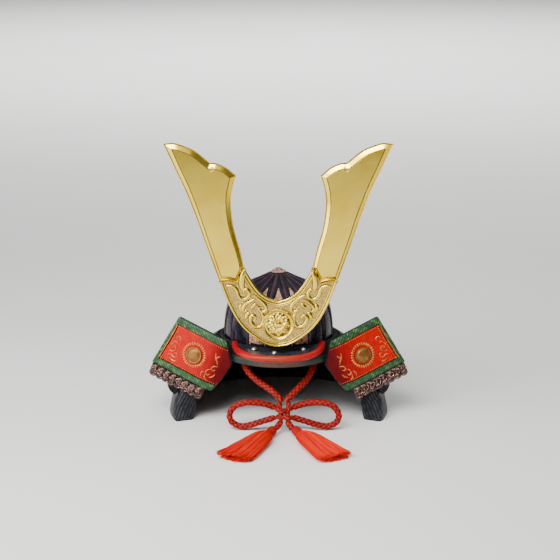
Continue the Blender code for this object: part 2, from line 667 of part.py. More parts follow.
def make_crest(finish):
    outline = crest_outline()
    crest = loft("crest_horns", [flat_ring(outline, 1, -CREST_BACK),
                                 flat_ring(outline, 1, crest_depth(0.0))], finish, sharp=30.0)
    verts, faces = [], []
    for rings in crest_relief():
        faces += loft_faces(len(rings[0]), len(rings), first=len(verts))
        verts += [p for ring in rings for p in ring]
    relief = helper_object("crest_relief_guide", verts, faces, finish)
    pierced = crest_point(PIERCED)
    hole_verts, hole_faces = [], []
    for side in (1, -1):
        rings = [[Vector((side * pierced.x + PIERCED_RADIUS * math.cos(a), y,
                          pierced.y + PIERCED_RADIUS * math.sin(a)))
                  for a in (2 * math.pi * j / 10 for j in range(10))]
                 for y in (crest_depth(2 * HORN_RAISE), -CREST_BACK + CREST_SHEET)]
        hole_faces += loft_faces(10, 2, first=len(hole_verts))
        hole_verts += [p for ring in rings for p in ring]
    holes = helper_object("crest_hole_guide", hole_verts, hole_faces, finish)
    for operation, other in (("UNION", relief), ("DIFFERENCE", holes)):
        cut = crest.modifiers.new(operation.lower(), "BOOLEAN")
        cut.operation = operation
        cut.solver = "EXACT"
        cut.use_self = operation == "UNION"
        cut.object = other
    return crest


def make_medallion(finish):
    """A domed flower disc on the crest's lower plate."""
    profile = [(1.00, 0.00, 0.0), (1.00, 0.30, 0.0), (0.90, 0.42, 0.0), (0.84, 0.34, 0.0),
               (0.70, 0.74, 0.16), (0.36, 0.94, 0.10), (0.26, 0.70, 0.0), (0.14, 1.00, 0.0)]
    count = 3 * PETALS
    rings = []
    for reach, rise, wave in profile:
        ring = []
        for j in range(count):
            angle = 2 * math.pi * j / count
            lift = rise - wave * (1 - math.cos(PETALS * angle)) / 2
            ring.append(Vector((reach * MEDALLION_RADIUS * math.cos(angle),
                                crest_depth(SEAT + lift * MEDALLION_HEIGHT),
                                MEDALLION_Z + reach * MEDALLION_RADIUS * math.sin(angle))))
        rings.append(ring)
    return loft("crest_medallion", rings, finish, sharp=25.0)


def make_post(finish):
    """The plain hidden tongue between the bowl's front and the crest's back."""
    rise = POST_Z + POST_HEIGHT / 2 - BOWL_BOTTOM
    flat_of_plate = math.cos(math.pi / PLATES - RIB_HALF_WIDTH / BOWL_RADIUS)
    back = dome_radius(rise - POST_HEIGHT, BOWL_RADIUS, BOWL_HEIGHT) * flat_of_plate + SEAT
    front = CREST_BACK - SEAT
    rings = []
    for y in (-back, -front):
        rings.append([Vector((x * POST_WIDTH / 2, y, POST_Z + z * POST_HEIGHT / 2))
                      for x, z in ((-1, -1), (1, -1), (1, 1), (-1, 1))])
    return loft("crest_post", rings, finish)


def make_tube(name, route, finish):
    """A plain round cord on a smooth curve through its route's points."""
    curve = bpy.data.curves.new(name, "CURVE")
    curve.dimensions = "3D"
    curve.bevel_depth = CORD_RADIUS
    curve.bevel_resolution = 2
    curve.use_fill_caps = True
    spline = curve.splines.new("POLY")
    points = smooth_through(route, 1)
    spline.points.add(len(points) - 1)
    for target, point in zip(spline.points, points):
        target.co = (*point, 1.0)
    curve.materials.append(finish)
    obj = bpy.data.objects.new(name, curve)
    obj.location = (0.0, AXIS_Y, 0.0)
    bpy.context.collection.objects.link(obj)
    return obj


def make_knot(finish):
    """The bow's knot: a rounded upright lump with a waist where the turns cross."""
    levels = [(-1.00, 0.55), (-0.80, 0.86), (-0.40, 1.00), (0.00, 0.94), (0.40, 1.00),
              (0.80, 0.86), (1.00, 0.55)]
    rings = []
    for level, share in levels:
        rings.append([Vector((KNOT_CENTRE[0] + KNOT_HALF[0] * share * math.cos(a),
                              KNOT_CENTRE[1] + KNOT_HALF[1] * share * math.sin(a),
                              KNOT_CENTRE[2] + KNOT_HALF[2] * level))
                      for a in (2 * math.pi * j / 12 for j in range(12))])
    return loft("bow_knot", rings, finish)


def make_tassel(name, tail, turn, finish):
    """A bound head and a skirt of locks that fan out flat on the floor."""
    bearing = math.radians(turn)
    ahead = Vector((math.sin(bearing), -math.cos(bearing), 0.0))
    side = Vector((ahead.y, -ahead.x, 0.0))
    start = Vector(tail[-1]) + ahead * (CORD_RADIUS / 2 + SEAT)
    sections = [(0.00, 0.50, 0.50), (0.03, 0.95, 0.95), (0.10, 1.00, 1.00), (0.15, 0.78, 0.82),
                (0.22, 1.10, 0.98), (0.45, 1.95, 0.92), (0.70, 2.65, 0.82), (0.92, 3.20, 0.72)]
    widest = TASSEL_END_WIDTH / 2 / TASSEL_HEAD_RADIUS / sections[-1][1]
    rings = []
    per_lock = 2
    top_count = TASSEL_LOCKS * per_lock
    for share, wide, thick in sections:
        fan = share > 0.16
        half_width = TASSEL_HEAD_RADIUS * wide * (widest if fan else 1.0)
        half_thick = TASSEL_HEAD_RADIUS * thick
        if fan:
            half_thick = max(half_thick * (1 - share * 0.35), TASSEL_END_THICKNESS / 2)
        height = start.z + (half_thick + SEAT - start.z) * min(share / 0.3, 1.0)
        height = max(height, half_thick + SEAT)
        ring = []
        for j in range(top_count + 1):
            angle = math.pi * j / top_count
            lobe = 1.0 if not fan or j % per_lock else 0.78
            tip = 0.06 * (j % per_lock) if share > 0.9 else 0.0
            ring.append(start + ahead * (share + tip) * TASSEL_LENGTH
                        + side * half_width * math.cos(angle)
                        + Vector((0.0, 0.0, height - start.z + half_thick * lobe * math.sin(angle))))
        for j in range(1, 6):
            angle = math.pi + math.pi * j / 6
            ring.append(start + ahead * share * TASSEL_LENGTH + side * half_width * math.cos(angle)
                        + Vector((0.0, 0.0, height - start.z + half_thick * math.sin(angle))))
        rings.append(ring)
    return loft(name, rings, finish)


def main():
    clear_scene()
    dark_glaze = material("dark_glaze", (0.030, 0.030, 0.055), 0.25)
    bronze_glaze = material("bronze_glaze", (0.42, 0.25, 0.12), 0.40, 0.6)
    slate_glaze = material("slate_glaze", (0.055, 0.060, 0.080), 0.30)
    red_glaze = material("red_glaze", (0.60, 0.020, 0.020), 0.30)
    green_glaze = material("green_glaze", (0.080, 0.170, 0.080), 0.40)
    scale_glaze = material("scale_glaze", (0.27, 0.15, 0.12), 0.30, 0.3)
    gilt = material("gilt_brass", (0.80, 0.62, 0.26), 0.15, 1.0)
    silver = material("silver_stud", (0.70, 0.70, 0.70), 0.25, 1.0)
    braid = material("silk_braid", (0.75, 0.060, 0.030), 0.70)

    make_bowl(dark_glaze)
    make_finial(bronze_glaze)
    make_band(dark_glaze)
    make_visor(dark_glaze)
    make_visor_rim(red_glaze)
    for name, (turn, share) in RIVETS.items():
        make_rivet(name, turn, share, silver)
    for index in range(GUARD_LAMES):
        make_lame(index, slate_glaze)
    make_skirt(slate_glaze)
    for side, label in ((-1, "left"), (1, "right")):
        make_panel(side, label, green_glaze, red_glaze, bronze_glaze)
        make_scale_row(side, label, scale_glaze)
    make_crest(gilt)
    make_medallion(gilt)
    make_post(gilt)
    make_tube("chin_cord", CHIN_ROUTE, braid)
    make_tube("bow_loop_left", LEFT_LOOP, braid)
    make_tube("bow_loop_right", RIGHT_LOOP, braid)
    make_tube("tail_left", LEFT_TAIL, braid)
    make_tube("tail_right", RIGHT_TAIL, braid)
    make_knot(braid)
    make_tassel("tassel_left", LEFT_TAIL, LEFT_TASSEL_TURN, braid)
    make_tassel("tassel_right", RIGHT_TAIL, RIGHT_TASSEL_TURN, braid)


main()
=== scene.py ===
"""Looks of a miniature display kabuto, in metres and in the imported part's frame.

Every piece is drawn round the bowl's upright axis, as the solids are, and moved to AXIS_Y.
Azimuth is measured from the front, positive towards +X.
"""

import math
import random

import bmesh
import bpy
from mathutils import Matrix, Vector


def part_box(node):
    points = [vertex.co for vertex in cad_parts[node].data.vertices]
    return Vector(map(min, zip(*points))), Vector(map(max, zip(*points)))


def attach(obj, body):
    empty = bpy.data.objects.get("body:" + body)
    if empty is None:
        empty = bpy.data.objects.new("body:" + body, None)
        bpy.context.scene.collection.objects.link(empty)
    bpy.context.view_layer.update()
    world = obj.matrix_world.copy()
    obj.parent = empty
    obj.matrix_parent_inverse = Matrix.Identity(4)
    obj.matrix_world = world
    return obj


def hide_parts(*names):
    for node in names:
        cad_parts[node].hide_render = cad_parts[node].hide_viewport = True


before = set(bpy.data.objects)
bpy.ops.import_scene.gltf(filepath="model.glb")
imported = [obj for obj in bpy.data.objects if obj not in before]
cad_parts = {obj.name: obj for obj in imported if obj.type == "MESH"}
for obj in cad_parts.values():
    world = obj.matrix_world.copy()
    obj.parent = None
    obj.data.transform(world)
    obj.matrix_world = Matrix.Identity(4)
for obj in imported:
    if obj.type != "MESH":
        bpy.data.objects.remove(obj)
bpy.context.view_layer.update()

MM = 0.001
SEED = 11
UP = Vector((0.0, 0.0, 1.0))


def node_box(node):
    low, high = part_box(node)
    return Vector(low), Vector(high)


# The bowl and the band under it
BOWL_LOW, BOWL_HIGH = node_box("bowl")
AXIS_Y = (BOWL_LOW.y + BOWL_HIGH.y) / 2
SEAT = 0.3 * MM
BOWL_RADIUS = 44.5 * MM
BOWL_BOTTOM = BOWL_LOW.z
BOWL_HEIGHT = 53.5 * MM
BOWL_WALL = 4.0 * MM
BOWL_FULLNESS = 2.5
CROWN_CUT = 0.995
CROWN_DIP = 4.4 * MM
CROWN_SPREAD = 42.0 * MM
INNER_DIP = 0.6              # share of the crown's dip that the bowl's inside follows
PLATES = 16
RIB_HEIGHT = 1.0 * MM
RIB_SPREAD = 0.95 * MM
RIB_FURROW = 0.35 * MM       # depth of the shallow furrow on either side of a rib
RIB_FURROW_PLACE = 2.0 * MM
RIB_FURROW_SPREAD = 0.7 * MM
GOLD_FIELDS = {"middle": 0.0, "left": -360 / PLATES, "right": 360 / PLATES}
GOLD_FIELD_RAISE = 0.75 * MM
GOLD_FIELD_SINK = 0.25 * MM  # how far its edges go into the bowl, and how deep its groove is
BAND_LOW, BAND_HIGH = node_box("brow_band")
BAND_OUTER = BAND_HIGH.x
FINIAL_RADIUS = 5.6 * MM
FINIAL_HEIGHT = 3.4 * MM

# Visor
VISOR_REACH = 68.0 * MM
VISOR_HALF_WIDTH = 34.7 * MM
VISOR_BACK = 37.0 * MM
VISOR_SQUARENESS = 2.4
VISOR_SHEET = 2.4 * MM
VISOR_CROWN = 0.4 * MM
VISOR_LIFT = 0.6
VISOR_FRONT_Z = 63.2 * MM
VISOR_END_Z = 68.0 * MM
VISOR_TURN = 84              # degrees round the visor's outline to where its sheet ends
RIM_RADIUS = 2.7 * MM
RIVET_RADIUS = 2.4 * MM
RIVET_HEIGHT = 1.5 * MM
RIVETS = {"visor_rivet_middle": (-4.0, 0.45), "visor_rivet_left": (-45.0, 0.22),
          "visor_rivet_right": (45.0, 0.22)}

# Neck guard
GUARD_SHEET = 4.0 * MM
GUARD_LAP = 3.0 * MM
GUARD_TOP_RADIUS = 52.0 * MM
GUARD_TOP_Z = 63.0 * MM
GUARD_SKIRT_RADIUS = 86.2 * MM
GUARD_SKIRT_Z = 23.0 * MM
GUARD_FOOT_RADIUS = 90.5 * MM
GUARD_LAMES = 3
LAME_STARTS = [(67.0, 62.0), (62.5, 70.0), (69.5, 71.0)]
FOOT_WIDTH = 16.5 * MM
FOOT_FRONT = 67.5
FOOT_RUN = 11.0
FOOT_ROUND = 2.0 * MM
FOOT_EDGE = 0.8 * MM
FOOT_TOP = 29.5 * MM          # the front of a foot stands up behind the scale row
LACING_PITCH = 2.3 * MM      # from one lacing ridge to the next
LACING_DEPTH = 0.45 * MM
LACED_FROM, LACED_TO = 0.14, 0.82    # the shares of a lame's height between which it is laced
LIP_REACH = 58.0             # degrees to either side that the ribbed lip goes
LIP_PITCH = 1.05 * MM
LIP_DEPTH = 0.35 * MM
FOOT_WRAP = 4.6 * MM         # how far back the front of a foot reaches round its sides
FOOT_BELLY = 0.8 * MM
FURROW_PITCH = 3.1 * MM
FURROW_DEPTH = 0.8 * MM
FURROW_LEAN = 0.34

# Turned-back side panels
PANEL_YAW = 20.0
PANEL_LEAN = 8.0
PANEL_ROLL = 20.9
PANEL_BEARING = 64.2
PANEL_Z = 56.1 * MM
PANEL_STAND = 16.9 * MM
PANEL_HEIGHT = 43.7 * MM
PANEL_BOTTOM_WIDTH = 54.4 * MM
PANEL_TOP_WIDTH = 44.0 * MM
PANEL_OUTER = 31.2 * MM
PANEL_SHEET = 3.2 * MM
BORDER_WIDTH = 5.2 * MM
BORDER_EDGE_WIDTH = 3.2 * MM
BORDER_HEIGHT = 1.8 * MM
BORDER_SLOPE = 0.5 * MM
BORDER_RIB_PITCH = 2.8 * MM
BORDER_RIB_DEPTH = 0.6 * MM
BORDER_RIM_FALL = 0.7 * MM
PANEL_BULGE = 8.5 * MM
PANEL_MIDDLE = 0.49          # how far up the panel its disc sits
PANEL_TAPER = 0.65           # share of the panel's narrowing that its outer edge takes
PANEL_POINT = 0.60           # how far up the panel its inner edge comes to a point
PANEL_CURL = 10.0 * MM
CURL_START = 10.0 * MM
FIELD_SHEET = 1.1 * MM
FIELD_FACE = SEAT + FIELD_SHEET
FIELD_RIM_FALL = 0.5 * MM
DISC_RADIUS = 6.6 * MM
DISC_HEIGHT = 2.2 * MM
SCROLL_SINK = 0.15 * MM      # how far the painted scrolls go into the field
PETAL_RING_RADIUS = 9.2 * MM
PETALS_ROUND_DISC = 30
PETAL_SIZE = 0.80 * MM
DOT_SIZE = 0.50 * MM
DOT_PITCH = 1.7 * MM
DOT_INSET = 0.9 * MM
SCALES = 8
SCALE_ROW_HEIGHT = 10.6 * MM
SCALE_ROW_DEPTH = 5.6 * MM
SCALE_ROW_FROM, SCALE_ROW_TO = 0.02, 0.90    # shares of the panel's lower edge
SCALE_BOSS_SIZE = 1.95 * MM

# Crest
CREST_LOW, CREST_HIGH = node_box("crest_horns")
CREST_HALF_WIDTH = (CREST_HIGH.x - CREST_LOW.x) / 2
CREST_HEIGHT = CREST_HIGH.z - CREST_LOW.z
CREST_BACK = AXIS_Y - CREST_HIGH.y
CREST_SHEET = 1.2 * MM
CREST_FACE = CREST_BACK + CREST_SHEET
SLOPE_LOW = 1.7 * MM         # width of a horn's sloping edge at the junction
SLOPE_HIGH = 3.2 * MM        # and at its tip
HORN_RAISE = 1.5 * MM
SCROLL_HALF_WIDTH = 1.65 * MM
SCROLL_HEIGHT = 1.7 * MM
MEDALLION_RADIUS = 12.6 * MM
MEDALLION_HEIGHT = 3.4 * MM
MEDALLION_Z = 88.5 * MM
PETALS = 8

# Thousandths of the crest's half width and height, from the lower middle up
CREST_PLATE_EDGE = [(0, 0), (101, 11), (217, 49), (342, 115), (438, 207), (528, 334)]
CREST_OUTER_EDGE = [(528, 334), (639, 506), (726, 646), (812, 769), (899, 872), (1000, 996)]
CREST_TOP_OUTER = [(1000, 996), (910, 1000), (805, 983), (716, 959), (598, 906)]
CREST_TOP_INNER = [(598, 906), (533, 902), (448, 880), (368, 843)]
CREST_INNER_EDGE = [(368, 843), (391, 804), (413, 745), (414, 682), (390, 586), (333, 472),
                    (302, 394)]
CREST_NECK = [(302, 394), (263, 358), (215, 315), (158, 277), (80, 247), (0, 235)]
CREST_JUNCTION_INNER = [(302, 394), (345, 345), (365, 322)]
CREST_JUNCTION_LOWER = [(365, 322), (440, 334), (528, 334)]

# Buds that rise between the neck and the scrolls, and the knobs above them
CREST_BUD = [(304, 384), (320, 350), (327, 315), (316, 284)]
CREST_KNOB = [(290, 392), (300, 388), (310, 380)]

# Scrollwork of one side in the same thousandths, each stroke from its root to its tip
SCROLL_STROKES = [
    [(470, 306), (438, 308), (397, 302), (374, 288), (363, 268), (342, 248), (303, 240), (268, 252),
     (262, 274), (284, 289), (308, 284), (306, 270)],
    [(239, 263), (195, 251), (151, 231), (115, 206), (115, 185), (144, 179), (170, 190), (162, 203)],
    [(218, 243), (247, 231), (277, 222), (306, 206), (317, 189), (299, 181), (284, 190)],
    [(190, 212), (152, 176), (136, 150), (140, 123), (167, 104), (211, 106), (246, 127), (250, 150),
     (228, 160), (205, 150), (214, 137)],
    [(330, 216), (342, 199), (330, 182)],
    [(262, 178), (285, 160), (290, 142)],
    [(205, 222), (222, 206), (246, 196)],
]
HORN_CURL = [(640, 890), (618, 872), (596, 864), (574, 868), (568, 880), (582, 888), (596, 880)]

# Cord
CORD_RADIUS = 2.6 * MM
BRAID_STRANDS = 4            # in each of the two directions
BRAID_PITCH = 4.2 * MM       # along the cord, from one crossing of two strands to the next
TASSEL_LENGTH = 65.0 * MM
TASSEL_HEAD_RADIUS = 4.0 * MM
TASSEL_END_WIDTH = 29.5 * MM
TASSEL_END_THICKNESS = 6.4 * MM
TASSEL_THREADS = 640
THREAD_RADIUS = 0.33 * MM
THREAD_SPANS = 12
THREAD_START = 0.155         # share of the tassel's length at which its threads leave the head
HEAD_END = 0.16              # share at which the tassel starts to open
TASSEL_TURN = 29.0

# Cord routes in mm, the same points as the solids have, from the bowl's axis
CHIN_ROUTE = [(1.2, -55, 24), (1, -55, 26.6), (-7, -49.5, 32.5), (-16.5, -42.5, 37.2),
              (-24, -35.8, 42.5), (-27.6, -29, 47.5), (-30, -26.2, 52.5), (-32.5, -23.5, 55.6),
              (-36.5, -18, 56), (-40, -8, 56), (-40.5, 4, 56), (-37.5, 16, 56), (-30.5, 27.2, 56),
              (-20.5, 35.3, 56), (-8, 40, 56), (5, 40.5, 56), (17.5, 36.9, 56), (28.5, 29.3, 56),
              (36.5, 18.3, 56), (40.3, 6, 56), (40.2, -6.5, 56), (37, -17.2, 56),
              (32.5, -23.5, 55.6), (30.4, -26.2, 52.5), (28.4, -29, 47.5), (26.2, -35.8, 42.5),
              (21.5, -42.5, 37.2), (15, -49.5, 32.5), (7.8, -55, 26.6), (7.6, -55, 24)]
LEFT_LOOP = [(-2.2, -52.7, 18), (-8, -53, 20.5), (-15.5, -54, 22.6), (-25, -55, 23.2),
             (-34.5, -55.2, 20.4), (-39, -55.2, 13.5), (-36.8, -55.4, 6.8), (-29.5, -55.6, 3.6),
             (-21, -56.5, 5.4), (-12, -57.4, 8.6), (-2.2, -58, 12)]
RIGHT_LOOP = [(11, -52.7, 18), (16.8, -53, 20.5), (24.5, -54, 22.6), (34.5, -55, 23.2),
              (43.5, -55.2, 20.4), (48, -55.2, 13.5), (46.2, -55.4, 6.8), (39, -55.6, 3.6),
              (30, -56.5, 5.4), (21, -57.4, 8.6), (11, -58, 12)]
LEFT_TAIL = [(1.6, -60.2, 9.8), (1, -62.8, 8.5), (-0.6, -65.2, 6.8), (-2.6, -67.6, 5.6)]
RIGHT_TAIL = [(7.4, -60.2, 9.8), (8, -62.8, 8.5), (9.6, -65.2, 6.8), (11.6, -67.6, 5.6)]
KNOT_TURNS = [
    [(1.2, -55, 23.6), (0.8, -57.2, 20.6), (1.4, -59.2, 16.6), (2.2, -60, 12.6), (1.6, -60.2, 9.8)],
    [(7.6, -55, 23.6), (8, -57.2, 20.6), (7.4, -59.2, 16.6), (6.8, -60, 12.6), (7.4, -60.2, 9.8)],
    [(-2.2, -52.7, 18), (-0.8, -58.5, 19), (1.8, -61.4, 18.2), (5, -60, 18), (8, -57.2, 18.6),
     (11, -52.7, 18)],
    [(-2.2, -58, 12), (0.6, -59, 12.6), (4, -60.4, 13), (7.4, -62.2, 12.8), (9.8, -60.6, 12.4),
     (11, -58, 12)],
]
KNOT_CORD_SHARE = 0.82       # the turns are drawn tight, so they are thinner than the free cord

# Camera: place, downward pitch in degrees, and focal length in pixels of the square photograph
CAMERA_PLACE = (1.2 * MM, -1.385 + AXIS_Y, 0.4655)
CAMERA_PITCH = 14.4
FOCAL_PIXELS = 1755.0
IMAGE_PIXELS = 560.0
SENSOR_MM = 36.0

# Soft boxes: place, aim and size in metres, power in watts, and spread in degrees
SOFT_BOXES = {
    "front_top": ((-0.50, -1.15, 1.15), (-0.14, -0.25, 0.0), (1.2, 0.6), 9.8, 80.0),
    "overhead": ((0.6, -0.35, 1.6), (0.15, -0.15, 0.0), (3.0, 1.2), 10.0, 150.0),
    "left_low": ((-0.68, -0.46, 0.30), (0.0, -0.05, 0.12), (0.6, 0.55), 2.2, 110.0),
    "back_floor": ((0.0, 2.4, 2.4), (0.0, 2.3, 0.0), (2.4, 1.6), 45.0, 80.0),
}
AIR_COLOUR = "F4F4F6"
AIR_STRENGTH = 0.22
FLOOR_REACH = 8.0


def place_object(name, data):
    obj = bpy.data.objects.new(name, data)
    bpy.context.collection.objects.link(obj)
    return obj


def make_camera():
    """Where the photograph was taken from: level verticals, looking down on the helmet."""
    data = bpy.data.cameras.new("camera")
    data.sensor_width = SENSOR_MM
    data.lens = SENSOR_MM * FOCAL_PIXELS / IMAGE_PIXELS
    data.clip_start, data.clip_end = 0.05, 50.0
    camera = place_object("camera", data)
    camera.location = CAMERA_PLACE
    camera.rotation_euler = (math.radians(90.0 - CAMERA_PITCH), 0.0, 0.0)
    bpy.context.scene.camera = camera


def make_soft_box(name, place, aim, size, power, spread):
    data = bpy.data.lights.new(name, "AREA")
    data.shape = "RECTANGLE"
    data.size, data.size_y = size
    data.energy = power
    data.spread = math.radians(spread)
    lamp = place_object(name, data)
    lamp.location = place
    lamp.rotation_euler = (Vector(aim) - Vector(place)).to_track_quat("-Z", "Y").to_euler()


def linear(code):
    """An sRGB hex colour as linear red, green, blue and alpha."""
    shares = [int(code[i:i + 2], 16) / 255 for i in (0, 2, 4)]
    return (*(c / 12.92 if c <= 0.04045 else ((c + 0.055) / 1.055) ** 2.4 for c in shares), 1.0)


def add(tree, kind, feeds=None, stops=None, **settings):
    """One node with its settings. feeds maps an input's name or number to a value, a socket, or a
    node whose first output it takes."""
    node = tree.nodes.new(kind)
    for key, value in settings.items():
        setattr(node, key, value)
    for key, value in (feeds or {}).items():
        if isinstance(value, bpy.types.Node):
            value = value.outputs[0]
        if isinstance(value, bpy.types.NodeSocket):
            tree.links.new(value, node.inputs[key])
        else:
            node.inputs[key].default_value = value
    if stops:
        ramp = node.color_ramp.elements
        while len(ramp) < len(stops):
            ramp.new(0.5)
        for element, (place, code) in zip(ramp, stops):
            element.position = place
            element.color = linear(code)
    return node


def start_material(name, plain):
    """plain gives the shader's own values by the names of its sockets."""
    material = bpy.data.materials.new(name)
    material.use_nodes = True
    tree = material.node_tree
    for key, value in plain.items():
        tree.nodes["Principled BSDF"].inputs[key].default_value = value
    return material, tree


def dress(material, colour=None, relief=None, depth_mm=0.0, strength=0.0):
    """Leads a colour, and fine relief of that depth, to the material's shader."""
    tree = material.node_tree
    shader = tree.nodes["Principled BSDF"]
    if colour is not None:
        tree.links.new(colour, shader.inputs["Base Color"])
    if depth_mm:
        bump = add(tree, "ShaderNodeBump", {"Height": relief, "Distance": depth_mm * MM,
                                            "Strength": strength})
        tree.links.new(bump.outputs[0], shader.inputs["Normal"])
    return material


def per_metre(size_mm):
    """Texture scale whose features are about that many millimetres across, on metre coordinates."""
    return 1000.0 / size_mm


# Finishes that are one cloudy pattern: metallic share, roughness, the pattern's size in mm, its
# detail and crumble, its colours from the hollows up, and its relief's depth in mm and strength
CLOUDY_FINISHES = {
    # Gold brushed over modelled clay and rubbed back: its own mottling, plus painted light, with the
    # palest stops painting highlights on the bump's high spots and the brown ones painting shade in
    # its hollows
    "rubbed_gold_and_highlight_glaze": (0.55, 0.36, 1.8, 6.0, 0.62, [
        (0.33, "5A3222"), (0.46, "B88460"), (0.60, "EEC49C"), (0.78, "FFE8CC")], 0.5, 0.7),
    # The same gold rubbed thinner over a greyer body: pale and a little rosy, with the same painted
    # highlights and shade
    "pale_gold_and_highlight_glaze": (0.55, 0.36, 1.8, 6.0, 0.62, [
        (0.33, "5E4038"), (0.46, "B08C7C"), (0.6, "DCBCAA"), (0.8, "F6DECE")], 0.5, 0.7),
    # Brown lustre over modelled scale ends: its lightest stops are painted glints on the bump's high
    # spots, its near-black stops painted shade in the hollows
    "bronze_lustre_glaze": (0.55, 0.27, 1.8, 6.0, 0.6, [
        (0.32, "0C0707"), (0.5, "33211D"), (0.66, "7A5446"), (0.8, "D8AE98")], 0.5, 0.9),
    # A brighter copy of the same lustre for the raised bosses: rosy, with near-white painted glints
    "rosy_glint_lustre_glaze": (0.55, 0.27, 1.8, 6.0, 0.6, [
        (0.34, "1E100D"), (0.46, "5E4036"), (0.58, "C09A8A"), (0.74, "FFE4D4")], 0.5, 0.9),
    # Fired gold on a smooth boss: satin and slightly cloudy
    "gold_disc_glaze": (0.7, 0.40, 3.0, 4.0, 0.5, [(0.3, "6E441A"), (0.7, "94622C")], 0.10, 0.4),
    # Liquid gold trailed with a fine brush: smooth, warm over the red
    "liquid_gold_line": (0.65, 0.34, 2.0, 3.0, 0.5, [(0.3, "B04A1E"), (0.7, "D2853E")], 0.0, 0.0),
    # Near-black painted shade on the helmet's inside faces, so the hollow reads as pitch dark
    "inner_painted_shade": (0.0, 0.72, 5.0, 4.0, 0.5, [(0.3, "08080B"), (0.7, "121218")], 0.1, 0.4),
    # Matt painted studio floor: pale, with only a breath of mottling
    "studio_floor": (0.0, 0.75, 1000 / 3, 2.0, 0.5, [(0.3, "F3F2EF"), (0.7, "F7F6F4")], 0.0, 0.0),
}


def cloudy_finish(name, metallic, roughness, size_mm, detail, crumble, stops, depth_mm, strength):
    material, tree = start_material(name, {"Metallic": metallic, "Roughness": roughness})
    where = add(tree, "ShaderNodeTexCoord").outputs["Object"]
    cloud = add(tree, "ShaderNodeTexNoise", {"Vector": where, "Scale": per_metre(size_mm),
                                             "Detail": detail, "Roughness": crumble})
    colour = add(tree, "ShaderNodeValToRGB", {0: cloud}, stops)
    return dress(material, colour.outputs[0], cloud, depth_mm, strength)


def gilt_brass_buffed():
    """Die-struck brass, gold plated and buffed, with painted shade: dark brown mixed in wherever
    crevices are marked.
    """
    material, tree = start_material("gilt_brass_buffed", {"Metallic": 1.0, "Roughness": 0.17})
    where = add(tree, "ShaderNodeTexCoord").outputs["Object"]
    cloud, wipe, swell = (add(tree, "ShaderNodeTexNoise", {"Vector": where, "Detail": detail,
                                                           "Scale": per_metre(size_mm)})
                          for size_mm, detail in ((22, 3.0), (4, 5.0), (16, 2.0)))
    plate = add(tree, "ShaderNodeValToRGB", {0: cloud}, [(0.3, "E9C33E"), (0.7, "F4D657")])
    # The marked crevices are painted dark brown as shade
    crevice_shade = add(tree, "ShaderNodeAttribute", attribute_name="crevice_shade").outputs["Fac"]
    colour = add(tree, "ShaderNodeMix", {0: crevice_shade, 6: plate, 7: linear("2B1D08")},
                 data_type="RGBA")
    rough = add(tree, "ShaderNodeMapRange", {0: wipe, 1: 0.3, 2: 0.75, 3: 0.12, 4: 0.22})
    tree.links.new(rough.outputs[0], tree.nodes["Principled BSDF"].inputs["Roughness"])
    return dress(material, colour.outputs[2], swell, 0.10, 0.35)


def gilt_brass_stippled():
    """The same plating on a ground that was punched all over: it glitters, and each punch mark is
    painted darker at its centre as shade in the pit.
    """
    material, tree = start_material("gilt_brass_stippled", {"Metallic": 1.0, "Roughness": 0.26})
    where = add(tree, "ShaderNodeTexCoord").outputs["Object"]
    # Real punch marks are about 0.4 mm apart, drawn at 0.9 mm to show
    punch = add(tree, "ShaderNodeTexVoronoi", {"Vector": where, "Scale": per_metre(0.9)})
    colour = add(tree, "ShaderNodeValToRGB", {0: punch}, [(0.0, "6A4E1C"), (0.55, "DDBC66")])
    return dress(material, colour.outputs[0], punch, 0.28, 0.8)


def gloss_glaze(name, stops):
    """Earthenware under a thick dark gloss: clear highlights, browner where it thins on the ribs."""
    material, tree = start_material(name, {"Roughness": 0.24, "Specular IOR Level": 0.22,
                                           "Coat Weight": 0.03, "Coat Roughness": 0.06})
    where = add(tree, "ShaderNodeTexCoord").outputs["Object"]
    pool, peel = (add(tree, "ShaderNodeTexNoise", {"Vector": where, "Detail": detail,
                                                   "Scale": per_metre(size_mm)})
                  for size_mm, detail in ((7, 5.0), (2.2, 4.0)))
    body = add(tree, "ShaderNodeValToRGB", {0: pool}, stops)
    ridge = add(tree, "ShaderNodeAttribute", attribute_name="ridge").outputs["Fac"]
    worn = add(tree, "ShaderNodeMath", {0: ridge, 1: pool}, operation="MULTIPLY")
    colour = add(tree, "ShaderNodeMix", {0: worn, 6: body, 7: linear("5A3C40")}, data_type="RGBA")
    return dress(material, colour.outputs[2], peel, 0.35, 1.0)


def scarlet_lined_glaze():
    """Scarlet glaze over finely combed clay: the lines run up the panel, and it is painted darker
    towards its inner edge, as shade where the panel curls back.
    """
    material, tree = start_material("scarlet_lined_glaze", {
        "Roughness": 0.42, "Specular IOR Level": 0.10, "Coat Weight": 0.03, "Coat Roughness": 0.12})
    along, up = (add(tree, "ShaderNodeAttribute", attribute_name=key).outputs["Fac"]
                 for key in ("along", "up"))
    sheet = add(tree, "ShaderNodeCombineXYZ", {0: along, 1: up})
    shade = add(tree, "ShaderNodeMapRange", {0: along, 1: -20 * MM, 2: 22 * MM})
    body = add(tree, "ShaderNodeValToRGB", {0: shade},
               [(0.0, "B00501"), (0.5, "A80401"), (0.8, "8C0306"), (1.0, "560208")])
    pool = add(tree, "ShaderNodeTexNoise", {"Vector": sheet, "Scale": per_metre(5), "Detail": 4.0})
    tone = add(tree, "ShaderNodeMapRange", {0: pool, 1: 0.3, 2: 0.7, 3: 0.82, 4: 1.12})
    colour = add(tree, "ShaderNodeMix", {0: 1.0, 6: body, 7: tone}, data_type="RGBA",
                 blend_type="MULTIPLY")
    # Combed lines are 1.1 mm apart
    comb = add(tree, "ShaderNodeTexWave", {"Vector": sheet, "Scale": per_metre(1.1) / math.tau,
                                           "Distortion": 1.2, "Detail": 2.0})
    return dress(material, colour.outputs[2], comb, 0.10, 0.5)


